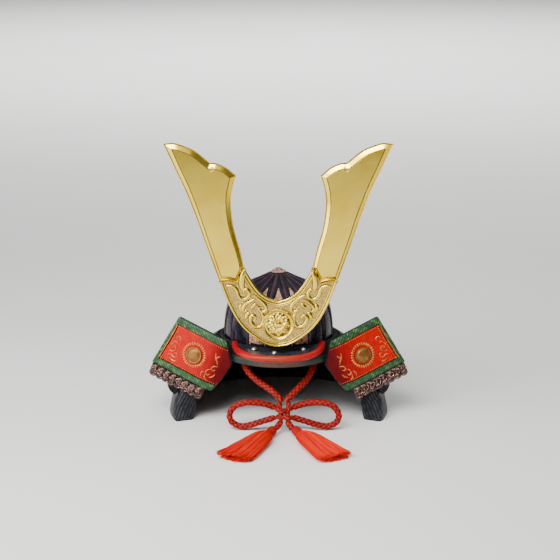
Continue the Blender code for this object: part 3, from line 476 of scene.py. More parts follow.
def from_middle(tree, where, reach):
    """0 at the helmet's middle and 1 at that reach to either side."""
    split = add(tree, "ShaderNodeSeparateXYZ", {0: where})
    side = add(tree, "ShaderNodeMath", {0: split}, operation="ABSOLUTE")
    return add(tree, "ShaderNodeMath", {0: side, 1: reach}, operation="DIVIDE")


def scarlet_rim_glaze():
    """Scarlet glaze on a rolled rim: orange towards the middle of the front, darker towards the ends.
    """
    material, tree = start_material("scarlet_rim_glaze", {
        "Roughness": 0.34, "Specular IOR Level": 0.2, "Coat Weight": 0.08, "Coat Roughness": 0.10})
    where = add(tree, "ShaderNodeTexCoord").outputs["Object"]
    share = from_middle(tree, where, VISOR_HALF_WIDTH)
    grain = add(tree, "ShaderNodeTexNoise", {"Vector": where, "Scale": per_metre(2.5), "Detail": 4.0})
    drift = add(tree, "ShaderNodeMapRange", {0: grain, 1: 0.25, 2: 0.75, 3: -0.15, 4: 0.15})
    mixed = add(tree, "ShaderNodeMath", {0: share, 1: drift}, operation="ADD")
    colour = add(tree, "ShaderNodeValToRGB", {0: mixed},
                 [(0.15, "8E2612"), (0.5, "981008"), (0.85, "9C0309"), (1.0, "80020A")])
    return dress(material, colour.outputs[0], grain, 0.10, 0.4)


def celadon_border_glaze():
    """Green glaze on a modelled braid border, dark grey off it: painted highlight makes the ribs
    yellow-green and painted shade makes the furrows deep green.
    """
    material, tree = start_material("celadon_border_glaze", {"Roughness": 0.48,
                                                             "Specular IOR Level": 0.25})
    where = add(tree, "ShaderNodeTexCoord").outputs["Object"]
    edge, ridge = (add(tree, "ShaderNodeAttribute", attribute_name=key).outputs["Fac"]
                   for key in ("border", "ridge"))
    pool = add(tree, "ShaderNodeTexNoise", {"Vector": where, "Scale": per_metre(3.5), "Detail": 5.0})
    level = add(tree, "ShaderNodeMath", {0: ridge, 1: pool}, operation="MULTIPLY")
    green = add(tree, "ShaderNodeValToRGB", {0: level},
                [(0.08, "0A160C"), (0.3, "1A3A20"), (0.48, "2E5430"), (0.62, "74803C")])
    colour = add(tree, "ShaderNodeMix", {0: edge, 6: linear("24262C"), 7: green}, data_type="RGBA")
    return dress(material, colour.outputs[2], pool, 0.15, 0.5)


def slate_combed_glaze():
    """Slate glaze over lacing ridges cut with a comb: grey on the ridges, and black between them as
    painted shade in the furrows.
    """
    material, tree = start_material("slate_combed_glaze", {
        "Roughness": 0.34, "Specular IOR Level": 0.2, "Coat Weight": 0.06, "Coat Roughness": 0.12})
    where = add(tree, "ShaderNodeTexCoord").outputs["Object"]
    ridge = add(tree, "ShaderNodeAttribute", attribute_name="ridge").outputs["Fac"]
    pool = add(tree, "ShaderNodeTexNoise", {"Vector": where, "Scale": per_metre(4), "Detail": 5.0})
    tone = add(tree, "ShaderNodeMapRange", {0: pool, 1: 0.3, 2: 0.7, 3: 0.7, 4: 1.15})
    level = add(tree, "ShaderNodeMath", {0: ridge, 1: tone}, operation="MULTIPLY")
    colour = add(tree, "ShaderNodeValToRGB", {0: level},
                 [(0.0, "030304"), (0.45, "08080A"), (0.8, "121317"), (1.0, "34363C")])
    return dress(material, colour.outputs[0], pool, 0.14, 0.5)


def lip_glaze():
    """Green-grey glaze on the ribbed lip under the visor, turning brown towards the middle, and darker
    between the ribs as painted shade.
    """
    material, tree = start_material("lip_glaze", {"Roughness": 0.40})
    where = add(tree, "ShaderNodeTexCoord").outputs["Object"]
    ridge = add(tree, "ShaderNodeAttribute", attribute_name="ridge").outputs["Fac"]
    body = add(tree, "ShaderNodeValToRGB", {0: from_middle(tree, where, 28 * MM)},
               [(0.3, "6A4636"), (0.65, "42423A"), (0.95, "1E3226")])
    tone = add(tree, "ShaderNodeMapRange", {0: ridge, 3: 0.35, 4: 1.1})
    colour = add(tree, "ShaderNodeMix", {0: 1.0, 6: body, 7: tone}, data_type="RGBA",
                 blend_type="MULTIPLY")
    return dress(material, colour.outputs[2])


def nickel_stud():
    """Pressed nickel stud with fine hammer marks: small bright and dark facets."""
    material, tree = start_material("nickel_stud", {"Metallic": 1.0, "Roughness": 0.24,
                                                    "Base Color": linear("D9D9D6")})
    where = add(tree, "ShaderNodeTexCoord").outputs["Object"]
    marks = add(tree, "ShaderNodeTexVoronoi", {"Vector": where, "Scale": per_metre(0.8)})
    return dress(material, None, marks, 0.12, 0.6)


def braided_silk():
    """Dyed silk braid with a soft sheen of fine fibres: painted highlight on each strand's crown,
    painted shade where strands cross and part.
    """
    material, tree = start_material("braided_silk", {
        "Roughness": 0.62, "Specular IOR Level": 0.2, "Sheen Weight": 0.08,
        "Sheen Roughness": 0.4, "Sheen Tint": linear("FF6A4A")})
    where = add(tree, "ShaderNodeTexCoord").outputs["Object"]
    ridge, tone = (add(tree, "ShaderNodeAttribute", attribute_name=key).outputs["Fac"]
                   for key in ("ridge", "tone"))
    fibre = add(tree, "ShaderNodeTexNoise", {"Vector": where, "Scale": per_metre(0.6), "Detail": 3.0})
    body = add(tree, "ShaderNodeValToRGB", {0: ridge},
               [(0.0, "1A0103"), (0.35, "5A0404"), (0.7, "960B04"), (1.0, "B61E0B")])
    shade = add(tree, "ShaderNodeMath", {0: tone, 1: fibre}, operation="ADD")
    level = add(tree, "ShaderNodeMapRange", {0: shade, 1: 0.3, 2: 1.6, 3: 0.75, 4: 1.2})
    colour = add(tree, "ShaderNodeMix", {0: 1.0, 6: body, 7: level}, data_type="RGBA",
                 blend_type="MULTIPLY")
    return dress(material, colour.outputs[2], fibre, 0.12, 0.5)


def tassel_silk():
    """Cut silk threads: each one takes the dye a little differently, and they shine along the lay."""
    material, tree = start_material("tassel_silk", {
        "Roughness": 0.55, "Specular IOR Level": 0.15, "Sheen Weight": 0.06,
        "Sheen Roughness": 0.35, "Sheen Tint": linear("FF7A4A")})
    tone = add(tree, "ShaderNodeAttribute", attribute_name="tone").outputs["Fac"]
    colour = add(tree, "ShaderNodeValToRGB", {0: tone},
                 [(0.0, "7A0201"), (0.35, "BA0B01"), (0.7, "DC1C02"), (1.0, "F03608")])
    return dress(material, colour.outputs[0])


def clamp(value):
    return min(max(value, 0.0), 1.0)


def smooth_step(value, low, high):
    t = clamp((value - low) / (high - low))
    return t * t * (3 - 2 * t)


def quarter_round(share):
    """Height of a rounded edge: 0 where it starts and 1 where it is full."""
    return math.sqrt(max(1 - (1 - min(share, 1.0)) ** 2, 0.0))


def steps(first, last, count):
    """Evenly spaced values from first to last, both included."""
    return [first + (last - first) * i / count for i in range(count + 1)]


def turns(count):
    """Angles all the way round, the first at zero."""
    return [math.tau * j / count for j in range(count)]


def spoke(one, two, angle):
    """The direction at that angle from one direction towards another."""
    return math.cos(angle) * one + math.sin(angle) * two


def heading(line, i):
    """Which way a line runs at one of its points."""
    return (line[min(i + 1, len(line) - 1)] - line[max(i - 1, 0)]).normalized()


def left_of(ahead):
    return Vector((-ahead.y, ahead.x, 0.0))


def around(radius, azimuth, z):
    turn = math.radians(azimuth)
    return Vector((radius * math.sin(turn), -radius * math.cos(turn), z))


def smooth_through(points, spans, unit=1.0):
    """Points on a smooth curve through the given ones, with that many spans between each pair."""
    line = [Vector(p) * unit for p in points]
    padded = [2 * line[0] - line[1]] + line + [2 * line[-1] - line[-2]]
    curve = []
    for p0, p1, p2, p3 in zip(padded, padded[1:], padded[2:], padded[3:]):
        for t in steps(0.0, 1.0, spans)[:-1]:
            curve.append(0.5 * (2 * p1 + (p2 - p0) * t + (2 * p0 - 5 * p1 + 4 * p2 - p3) * t * t
                                + (3 * p1 - p0 - 3 * p2 + p3) * t ** 3))
    return curve + [line[-1]]


def evenly(line, count):
    """The polyline as count points at equal spacing."""
    reach = [0.0]
    for a, b in zip(line, line[1:]):
        reach.append(reach[-1] + (b - a).length)
    points, span = [], 0
    for i in range(count):
        target = reach[-1] * i / (count - 1)
        while span < len(line) - 2 and reach[span + 1] < target:
            span += 1
        length = reach[span + 1] - reach[span]
        share = (target - reach[span]) / length if length else 0.0
        points.append(line[span].lerp(line[span + 1], min(share, 1.0)))
    return points


def line_length(line):
    return sum((b - a).length for a, b in zip(line, line[1:]))


def finish_piece(obj, stands_for=()):
    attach(obj, "root")
    if stands_for:
        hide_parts(*stands_for)
    return obj


def face_outwards(mesh):
    form = bmesh.new()
    form.from_mesh(mesh)
    bmesh.ops.recalc_face_normals(form, faces=form.faces)
    form.to_mesh(mesh)
    form.free()
    mesh.shade_smooth()


def mark_points(mesh, key, values, kind="FLOAT", field="value"):
    mesh.attributes.new(key, kind, "POINT").data.foreach_set(field, values)


def mesh_piece(name, verts, faces, finish, stands_for=(), sharp=40.0, marks=None,
               zones=None):
    """A closed piece drawn round the bowl's axis. marks are named values for each point, and
    finish may be a list that zones, one number for each face, chooses from."""
    mesh = bpy.data.meshes.new(name)
    mesh.from_pydata([(x, y + AXIS_Y, z) for x, y, z in verts], [], faces)
    for key, values in (marks or {}).items():
        mark_points(mesh, key, values)
    finishes = finish if isinstance(finish, list) else [finish]
    for material in finishes:
        mesh.materials.append(material)
    if zones:
        mesh.polygons.foreach_set("material_index", zones)
    face_outwards(mesh)
    mesh.set_sharp_from_angle(angle=math.radians(sharp))
    for polygon in mesh.polygons:
        if polygon.loop_total > 4:
            polygon.use_smooth = False
    return finish_piece(place_object(name, mesh), stands_for)


def loft_faces(count, rings, joined=False, first=0):
    """Quads between rings of count points each; the ends are capped unless they are joined."""
    faces = []
    for i in range(rings if joined else rings - 1):
        a, b = first + i * count, first + ((i + 1) % rings) * count
        faces += [(a + j, a + (j + 1) % count, b + (j + 1) % count, b + j) for j in range(count)]
    if not joined:
        faces.append(tuple(first + j for j in range(count)))
        faces.append(tuple(first + (rings - 1) * count + j for j in reversed(range(count))))
    return faces


def loft_piece(name, rings, finish, stands_for=(), joined=False, sharp=40.0, marks=None,
               inside=()):
    """inside lists the places in a ring whose faces take the second finish."""
    verts = [p for ring in rings for p in ring]
    faces = loft_faces(len(rings[0]), len(rings), joined)
    zones = [1 if k % len(rings[0]) in inside else 0 for k in range(len(faces))] if inside else None
    return mesh_piece(name, verts, faces, finish, stands_for, sharp, marks, zones)


def shell_faces(columns, rows, first=0):
    """Faces of a closed sheet whose front grid is numbered before its back grid."""
    size = columns * rows
    faces = []
    for j in range(rows - 1):
        for i in range(columns - 1):
            a = first + j * columns + i
            faces.append((a, a + 1, a + columns + 1, a + columns))
            b = a + size
            faces.append((b, b + columns, b + columns + 1, b + 1))
    edge = list(range(columns)) + [columns * (j + 1) - 1 for j in range(1, rows)]
    edge += [columns * (rows - 1) + i for i in reversed(range(columns - 1))]
    edge += [columns * j for j in reversed(range(1, rows - 1))]
    for a, b in zip(edge, edge[1:] + edge[:1]):
        faces.append((first + a, first + size + a, first + size + b, first + b))
    return faces


def grid_piece(name, across, up, spot, finish, stands_for=()):
    """A closed sheet over a grid. spot(u, v, front) gives a point and its marks, where front is 1
    on the front face and 0 on the back one."""
    verts, marks = [], {}
    for front in (1.0, 0.0):
        for v in up:
            for u in across:
                point, marked = spot(u, v, front)
                verts.append(point)
                for key, value in marked.items():
                    marks.setdefault(key, []).append(value)
    return mesh_piece(name, verts, shell_faces(len(across), len(up)), finish, stands_for,
                      marks=marks)


def lathe_rings(profile, spot, sides):
    """Rings of a turned form. spot(radius, angle, height) gives the place of each point."""
    return [[spot(radius, angle, height) for angle in turns(sides)] for radius, height in profile]


SCATTER_ATTRIBUTES = (("face", "FLOAT_VECTOR", "vector"), ("run", "FLOAT_VECTOR", "vector"),
                      ("size", "FLOAT", "value"))


def open_tree(name, inputs):
    """A tree with named inputs, its Finish among them, and the Pieces that it gives."""
    tree = bpy.data.node_groups.new(name, "GeometryNodeTree")
    for label, kind in (*inputs, ("Finish", "NodeSocketMaterial")):
        tree.interface.new_socket(label, in_out="INPUT", socket_type=kind)
    tree.interface.new_socket("Pieces", in_out="OUTPUT", socket_type="NodeSocketGeometry")
    return tree, add(tree, "NodeGroupInput").outputs


def close_tree(tree, given, pieces):
    """Makes the pieces real and gives them the finish."""
    real = add(tree, "GeometryNodeRealizeInstances", {0: pieces})
    painted = add(tree, "GeometryNodeSetMaterial", {"Geometry": real, "Material": given["Finish"]})
    add(tree, "NodeGroupOutput", {0: painted})
    return tree


def scatter_tree():
    """Copies of one small form on points: turned to each point's face and run, then made real."""
    tree, given = open_tree("place_copies", (("Points", "NodeSocketGeometry"),
                                             ("Form", "NodeSocketObject"),
                                             ("Form size", "NodeSocketFloat")))
    face, run, size = (add(tree, "GeometryNodeInputNamedAttribute", {"Name": key}, data_type=kind)
                       for key, kind, _ in SCATTER_ATTRIBUTES)
    form = add(tree, "GeometryNodeObjectInfo", {"Object": given["Form"]})
    aim = add(tree, "FunctionNodeAlignRotationToVector", {"Vector": face}, axis="Z")
    turn = add(tree, "FunctionNodeAlignRotationToVector", {"Rotation": aim, "Vector": run},
               axis="X", pivot_axis="Z")
    scale = add(tree, "ShaderNodeMath", {0: size, 1: given["Form size"]}, operation="MULTIPLY")
    copies = add(tree, "GeometryNodeInstanceOnPoints",
                 {"Points": given["Points"], "Instance": form.outputs["Geometry"],
                  "Rotation": turn, "Scale": scale})
    return close_tree(tree, given, copies)


def strand_tree():
    """Round rods along guide lines, as thick as each guide point says."""
    tree, given = open_tree("lay_strands", (("Guides", "NodeSocketGeometry"),
                                            ("Sides", "NodeSocketInt")))
    lines = add(tree, "GeometryNodeMeshToCurve", {0: given["Guides"]})
    thick = add(tree, "GeometryNodeInputNamedAttribute", {"Name": "thick"}, data_type="FLOAT")
    sized = add(tree, "GeometryNodeSetCurveRadius", {"Curve": lines, "Radius": thick})
    section = add(tree, "GeometryNodeCurvePrimitiveCircle", {"Resolution": given["Sides"],
                                                             "Radius": 1.0})
    rods = add(tree, "GeometryNodeCurveToMesh",
               {"Curve": sized, "Profile Curve": section, "Fill Caps": True})
    for socket in rods.inputs:
        if socket.name == "Scale":
            tree.links.new(thick.outputs[0], socket)
    return close_tree(tree, given, rods)


def grown(name, seed_mesh, tree, values, finish, stands_for=(), sharp=50.0):
    """The plain mesh that a Geometry Nodes tree makes from a seed mesh, as a finished piece."""
    obj = place_object(name, seed_mesh)
    grower = obj.modifiers.new(tree.name, "NODES")
    grower.node_group = tree
    sockets = {item.name: item.identifier for item in tree.interface.items_tree
               if item.item_type == "SOCKET" and item.in_out == "INPUT"}
    for label, value in {**values, "Finish": finish}.items():
        grower[sockets[label]] = value
    ready = obj.evaluated_get(bpy.context.evaluated_depsgraph_get())
    mesh = bpy.data.meshes.new_from_object(ready)
    obj.modifiers.clear()
    obj.data = mesh
    mesh.name = name
    if not mesh.materials:
        mesh.materials.append(finish)
    mesh.shade_smooth()
    mesh.set_sharp_from_angle(angle=math.radians(sharp))
    return finish_piece(obj, stands_for)


def scattered(name, form, places, tree, finish, size=1.0, sharp=50.0):
    """places are (point, face, run, size) round the bowl's axis."""
    mesh = bpy.data.meshes.new(name + "_places")
    mesh.from_pydata([(p[0].x, p[0].y + AXIS_Y, p[0].z) for p in places], [], [])
    for column, (key, kind, field) in enumerate(SCATTER_ATTRIBUTES, start=1):
        values = [place[column] for place in places]
        flat = values if field == "value" else [c for v in values for c in v]
        mark_points(mesh, key, flat, kind, field)
    return grown(name, mesh, tree, {"Form": form, "Form size": size}, finish, (), sharp)


def stranded(name, guides, tree, sides, finish, stands_for=(), sharp=60.0):
    """guides are (points, thicknesses, tone) round the bowl's axis."""
    verts, edges, thick, tones = [], [], [], []
    for points, radii, tone in guides:
        first = len(verts)
        verts += [(p.x, p.y + AXIS_Y, p.z) for p in points]
        edges += [(first + i, first + i + 1) for i in range(len(points) - 1)]
        thick += radii
        tones += [tone] * len(points)
    mesh = bpy.data.meshes.new(name + "_guides")
    mesh.from_pydata(verts, edges, [])
    mark_points(mesh, "thick", thick)
    mark_points(mesh, "tone", tones)
    return grown(name, mesh, tree, {"Sides": sides}, finish, stands_for, sharp)


def small_form(name, profile, sides, stretch=1.0, joined=False):
    """A turned unit form about its own z axis, one unit in radius, longer along x by stretch."""
    rings = lathe_rings(profile, lambda r, a, h: Vector((r * math.cos(a) * stretch,
                                                         r * math.sin(a), h)), sides)
    mesh = bpy.data.meshes.new(name)
    mesh.from_pydata([tuple(p) for ring in rings for p in ring], [],
                     loft_faces(sides, len(rings), joined))
    face_outwards(mesh)
    return place_object(name, mesh)


def tube_frames(path):
    """Side and over directions along a path, carried on without twist."""
    frames = []
    side = None
    for i in range(len(path)):
        ahead = heading(path, i)
        if side is None:
            guide = UP if abs(ahead.z) < 0.9 else Vector((1.0, 0.0, 0.0))
            side = ahead.cross(guide).normalized()
        side = (side - ahead * side.dot(ahead)).normalized()
        frames.append((side, side.cross(ahead).normalized()))
    return frames


def braid_height(around_share, along):
    """Height from 0 to 1 and strand number where two families of strands pass over each other."""
    one = BRAID_STRANDS * around_share + along / BRAID_PITCH
    two = BRAID_STRANDS * around_share - along / BRAID_PITCH
    over = (math.floor(one) + math.floor(two)) % 2 == 0
    across, length = (one, two) if over else (two, one)
    crown = math.cos(math.pi * (across - math.floor(across) - 0.5))
    dip = math.cos(math.pi * (length - math.floor(length) - 0.5))
    return crown * (0.55 + 0.45 * dip), math.floor(across) * 0.37 % 1.0


def braid_rings(path, radius, relief=0.42 * MM, sides=40, step=0.34 * MM):
    """Verts, faces and marks of a braided round cord along a path, with rounded ends."""
    count = max(int(line_length(path) / step), 8)
    line = evenly(path, count)
    spacing = line_length(line) / (count - 1)
    verts, ridges, tones = [], [], []
    for i, (point, (side, over)) in enumerate(zip(line, tube_frames(line))):
        from_end = min(i, count - 1 - i) * spacing
        swell = quarter_round(from_end / radius) * 0.75 + 0.25
        for j in range(sides):
            height, tone = braid_height(j / sides, i * spacing)
            reach = (radius - relief + relief * height * 1.15) * swell
            verts.append(point + reach * spoke(side, over, math.tau * j / sides))
            ridges.append(height)
            tones.append(tone)
    return verts, loft_faces(sides, count), ridges, tones


def braided_piece(name, routes, radius, finish, stands_for):
    verts, faces, ridges, tones = [], [], [], []
    for route in routes:
        v, f, r, t = braid_rings(smooth_through(route, 10, MM), radius)
        faces += [tuple(index + len(verts) for index in face) for face in f]
        verts += v
        ridges += r
        tones += t
    return mesh_piece(name, verts, faces, finish, stands_for, 60.0,
                      {"ridge": ridges, "tone": tones})


def declare_cord(route):
    path = [(p.x, p.y + AXIS_Y, p.z) for p in smooth_through(route, 6, MM)]
    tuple(path[0])
    round(line_length([Vector(p) for p in path]), 4)


def tassel_frame(tail, turn):
    bearing = math.radians(turn)
    ahead = Vector((math.sin(bearing), -math.cos(bearing), 0.0))
    side = Vector((ahead.y, -ahead.x, 0.0))
    return Vector(tail[-1]) * MM + ahead * (CORD_RADIUS / 2 + SEAT), ahead, side


# Share of a tassel's length, and half its width and thickness there in radii of its head
TASSEL_SECTIONS = [(HEAD_END, 0.80, 0.82), (0.20, 1.25, 1.15), (0.28, 1.75, 1.38),
                   (0.42, 2.20, 1.42), (0.70, 2.75, 1.25), (0.92, 3.10, 1.05),
                   (1.05, 3.25, 0.90)]


def tassel_section(share, start_z):
    """Half width, half thickness and height of a tassel's middle at a share of its length."""
    for (s0, w0, t0), (s1, w1, t1) in zip(TASSEL_SECTIONS, TASSEL_SECTIONS[1:]):
        if share <= s1 or s1 == TASSEL_SECTIONS[-1][0]:
            break
    t = clamp((share - s0) / (s1 - s0))
    widest = TASSEL_END_WIDTH / 2 / TASSEL_HEAD_RADIUS / TASSEL_SECTIONS[-2][1]
    opening = clamp((share - HEAD_END) / 0.08)
    half_width = TASSEL_HEAD_RADIUS * (w0 + (w1 - w0) * t) * (1 + (widest - 1) * opening)
    half_thick = TASSEL_HEAD_RADIUS * (t0 + (t1 - t0) * t) * (1 - share * 0.35)
    half_thick = max(half_thick, TASSEL_END_THICKNESS / 2)
    height = start_z + (half_thick + SEAT - start_z) * min(share / 0.3, 1.0)
    return half_width, half_thick, max(height, half_thick + SEAT)


def make_tassel(name, tail, turn, tree, threads_finish, head_finish):
    """Threads bound under a round head, laid on the floor, and fanned out to ragged ends."""
    rng = random.Random(SEED + int(turn))
    start, ahead, side = tassel_frame(tail, turn)
    guides = []
    for _ in range(TASSEL_THREADS):
        angle = rng.uniform(0, math.tau)
        reach = math.sqrt(rng.uniform(0.12, 1.0))
        across, over = reach * math.cos(angle), reach * math.sin(angle)
        sway, phase = rng.uniform(0.2, 1.0) * MM, rng.uniform(0, math.tau)
        ends = 0.96 + 0.05 * (1 - across * across) + rng.gauss(0.0, 0.018)
        points, radii = [], []
        for i, share in enumerate(steps(THREAD_START, ends, THREAD_SPANS)):
            half_width, half_thick, height = tassel_section(share, start.z)
            loose = (share - THREAD_START) ** 1.2
            drift = sway * loose * math.sin(phase + 7.5 * share)
            point = start + ahead * share * TASSEL_LENGTH + side * (half_width * across + drift)
            point.z = height + half_thick * over * 0.93 + 0.5 * drift
            point.z = max(point.z, THREAD_RADIUS + 0.1 * MM)
            points.append(point)
            radii.append(THREAD_RADIUS * (0.9 + 0.25 * loose - 0.45 * (i == THREAD_SPANS)))
        guides.append((points, radii, rng.betavariate(2.2, 1.8)))
    threads = stranded(name + "_threads", guides, tree, 4, threads_finish, (name,))
    profile = [(-0.03, 0.35), (0.00, 0.62), (0.03, 0.92), (0.07, 1.02), (0.11, 0.96), (0.125, 0.82),
               (0.14, 0.90), (0.155, 0.84), (0.17, 0.92), (0.185, 0.80), (0.20, 0.55)]
    rings, ridges = [], []
    for share, reach in profile:
        _, _, height = tassel_section(max(share, HEAD_END), start.z)
        middle = start + ahead * share * TASSEL_LENGTH
        middle.z = start.z + (height - start.z) * clamp(share / 0.2)
        ring = []
        for angle in turns(48):
            # The binding's grooves are marked lower, so the silk is painted darker in them as shade
            groove = 0.5 + 0.5 * math.cos(12 * angle + 40 * share)
            radius = TASSEL_HEAD_RADIUS * (reach - 0.05 * groove)
            ring.append(middle + radius * spoke(side, UP, angle))
            ridges.append(1 - 0.6 * groove)
        rings.append(ring)
    head = loft_piece(name + "_head", rings, head_finish, sharp=60.0,
                      marks={"ridge": ridges, "tone": [0.5] * len(ridges)})
    return threads, head


def make_cords(silk, threads_finish, strands):
    chin = braided_piece("chin_cord_braid", [CHIN_ROUTE], CORD_RADIUS, silk, ("chin_cord",))
    knot = braided_piece("bow_knot_turns", KNOT_TURNS, CORD_RADIUS * KNOT_CORD_SHARE, silk,
                         ("bow_knot",))
    declare_cord(CHIN_ROUTE)
    for label, loop, tail, turn in (("left", LEFT_LOOP, LEFT_TAIL, -TASSEL_TURN),
                                    ("right", RIGHT_LOOP, RIGHT_TAIL, TASSEL_TURN)):
        tail_piece = braided_piece(f"tail_{label}_braid", [tail], CORD_RADIUS, silk,
                                   (f"tail_{label}",))
        threads, head = make_tassel(f"tassel_{label}", tail, turn, strands, threads_finish, silk)
        bow = braided_piece(f"bow_loop_{label}_braid", [loop], CORD_RADIUS, silk,
                            (f"bow_loop_{label}",))
        declare_cord(loop)


def dome_radius(rise, radius, height):
    share = clamp(rise / height)
    return radius * (1 - share ** BOWL_FULLNESS) ** (1 / BOWL_FULLNESS)


def crown_dip(radius):
    """How far the photograph's crown, a low cone, lies under a full dome at that radius."""
    share = clamp((radius - FINIAL_RADIUS) / (CROWN_SPREAD - FINIAL_RADIUS))
    return CROWN_DIP * math.sin(math.pi * share ** 0.85) ** 1.3


def make_bowl(outer_finish, inner_finish):
    per_plate = 16
    columns = PLATES * per_plate
    rings, ridges = [], []

    def ring(rise, radius, height, relief):
        level = dome_radius(rise, radius, height)
        line = []
        for c in range(columns):
            phase = (c / per_plate) % 1.0
            from_rib = abs(phase - 0.5) * math.tau / PLATES * level
            rib = math.exp(-(from_rib / RIB_SPREAD) ** 2)
            furrow = math.exp(-((from_rib - RIB_FURROW_PLACE) / RIB_FURROW_SPREAD) ** 2)
            lift = relief * (RIB_HEIGHT * rib - RIB_FURROW * furrow)
            line.append(around(level + lift, 360 * c / columns,
                               BOWL_BOTTOM + rise - (1.0 if relief else INNER_DIP) * crown_dip(level)))
            ridges.append(relief * rib)
        rings.append(line)

    inner_height = BOWL_HEIGHT - BOWL_WALL
    inner_shares = (0.985, 0.94, 0.85, 0.70, 0.50, 0.25, 0.0)
    for share in inner_shares:
        ring(share * inner_height, BOWL_RADIUS - BOWL_WALL, inner_height, 0.0)
    rows = 40
    for i in range(rows + 1):
        share = CROWN_CUT * math.sin(math.pi / 2 * i / rows)
        ring(share * BOWL_HEIGHT, BOWL_RADIUS, BOWL_HEIGHT, 1.0 if i else 0.6)
    verts = [p for line in rings for p in line]
    faces = loft_faces(columns, len(rings))
    inner_faces = len(inner_shares) * columns
    zones = [0 if k < inner_faces else 1 for k in range(len(faces))]
    zones[-2] = 0
    mesh_piece("bowl_glazed", verts, faces, [inner_finish, outer_finish], ("bowl",),
               marks={"ridge": ridges}, zones=zones)


def gold_field_point(azimuth, u, v, front):
    rise = (0.05 + 0.90 * v) * BOWL_HEIGHT
    level = dome_radius(rise, BOWL_RADIUS, BOWL_HEIGHT)
    half = level * math.tan(math.pi / PLATES) - 1.2 * MM
    half = half * min((1 - v) / 0.30, 1.0) + 0.15 * MM
    edge = min(1 - abs(u), v * 2.5, (1 - v) * 2.5) * 3
    lift = GOLD_FIELD_RAISE * front * min(edge, 1.0) ** 0.5 - GOLD_FIELD_SINK
    lift -= front * GOLD_FIELD_SINK * math.exp(-((abs(u) - 0.62) / 0.10) ** 2)
    return around(level + lift, azimuth + math.degrees(half * u / level),
                  BOWL_BOTTOM + rise - crown_dip(level))


def make_gold_fields(finish):
    """Three modelled gold fields between the front ribs, wide at the brow and pointed above."""
    for label, azimuth in GOLD_FIELDS.items():
        grid_piece(f"gold_field_{label}", steps(-1.0, 1.0, 12), steps(0.0, 1.0, 18),
                   lambda u, v, front: (gold_field_point(azimuth, u, v, front), {}), finish)


def make_finial(finish):
    bottom = BOWL_BOTTOM + CROWN_CUT * BOWL_HEIGHT + SEAT
    profile = [(0.30, 0.0), (1.00, 0.0), (1.06, 0.10), (1.06, 0.20), (0.98, 0.32), (0.84, 0.42),
               (0.70, 0.46), (0.60, 0.50), (0.62, 0.62), (0.60, 0.74), (0.48, 0.86), (0.40, 0.90),
               (0.34, 0.96), (0.20, 1.0), (0.06, 0.97)]
    rings = []
    for reach, rise in profile:
        ring = []
        for angle in turns(96):
            scallop = 0.10 * abs(math.sin(PLATES / 2 * angle)) if 0.5 < reach else 0.0
            ring.append(around(FINIAL_RADIUS * (reach - 0.10 + scallop), math.degrees(angle),
                               bottom + rise * FINIAL_HEIGHT))
        rings.append(ring)
    loft_piece("crown_finial_turned", rings, finish, ("crown_finial",))


def make_brow_lip(finish):
    """The ribbed lip of the brow band that shows below the visor's rim."""
    columns = 420
    section = [(0.1, 0.4), (0.75, 0.1), (1.0, 0.6), (1.0, 2.4), (1.0, 4.4), (0.7, 5.4), (0.1, 5.8)]
    rings, ridges = [], []
    for i in range(columns + 1):
        azimuth = -LIP_REACH + 2 * LIP_REACH * i / columns
        arc = math.radians(azimuth) * BAND_OUTER
        rib = abs(math.sin(math.pi * arc / LIP_PITCH)) ** 0.7
        ring = []
        for out, z in section:
            ring.append(around(BAND_OUTER + out * MM - LIP_DEPTH * (1 - rib) * (out > 0.5), azimuth,
                               BAND_LOW.z + z * MM))
            ridges.append(rib)
        rings.append(ring)
    loft_piece("brow_lip_ribbed", rings, finish, marks={"ridge": ridges})


def visor_edge(turn):
    s, c = math.sin(math.radians(turn)), max(math.cos(math.radians(turn)), 0.0)
    power = 2 / VISOR_SQUARENESS
    x = VISOR_HALF_WIDTH * math.copysign(abs(s) ** power, s)
    y = -VISOR_BACK - (VISOR_REACH - VISOR_BACK) * c ** power
    return Vector((x, y, VISOR_END_Z + (VISOR_FRONT_Z - VISOR_END_Z) * c ** 0.7))


def visor_section(turn):
    """The visor's upper face at one turn: at the brow band, halfway, and beside the rim."""
    edge = visor_edge(turn)
    inward = left_of(visor_edge(turn + 1) - visor_edge(turn - 1)).normalized()
    if inward.y < 0:
        inward = -inward
    out = edge + inward * (RIM_RADIUS + SEAT) + UP * VISOR_SHEET / 2
    bearing = math.degrees(math.atan2(out.x, -out.y))
    inner_z = BAND_HIGH.z - VISOR_SHEET
    seat = around(BAND_OUTER + SEAT, bearing, inner_z + (edge.z - VISOR_FRONT_Z) * VISOR_LIFT)
    middle = (seat + out) / 2 + UP * VISOR_CROWN
    return seat, middle, out


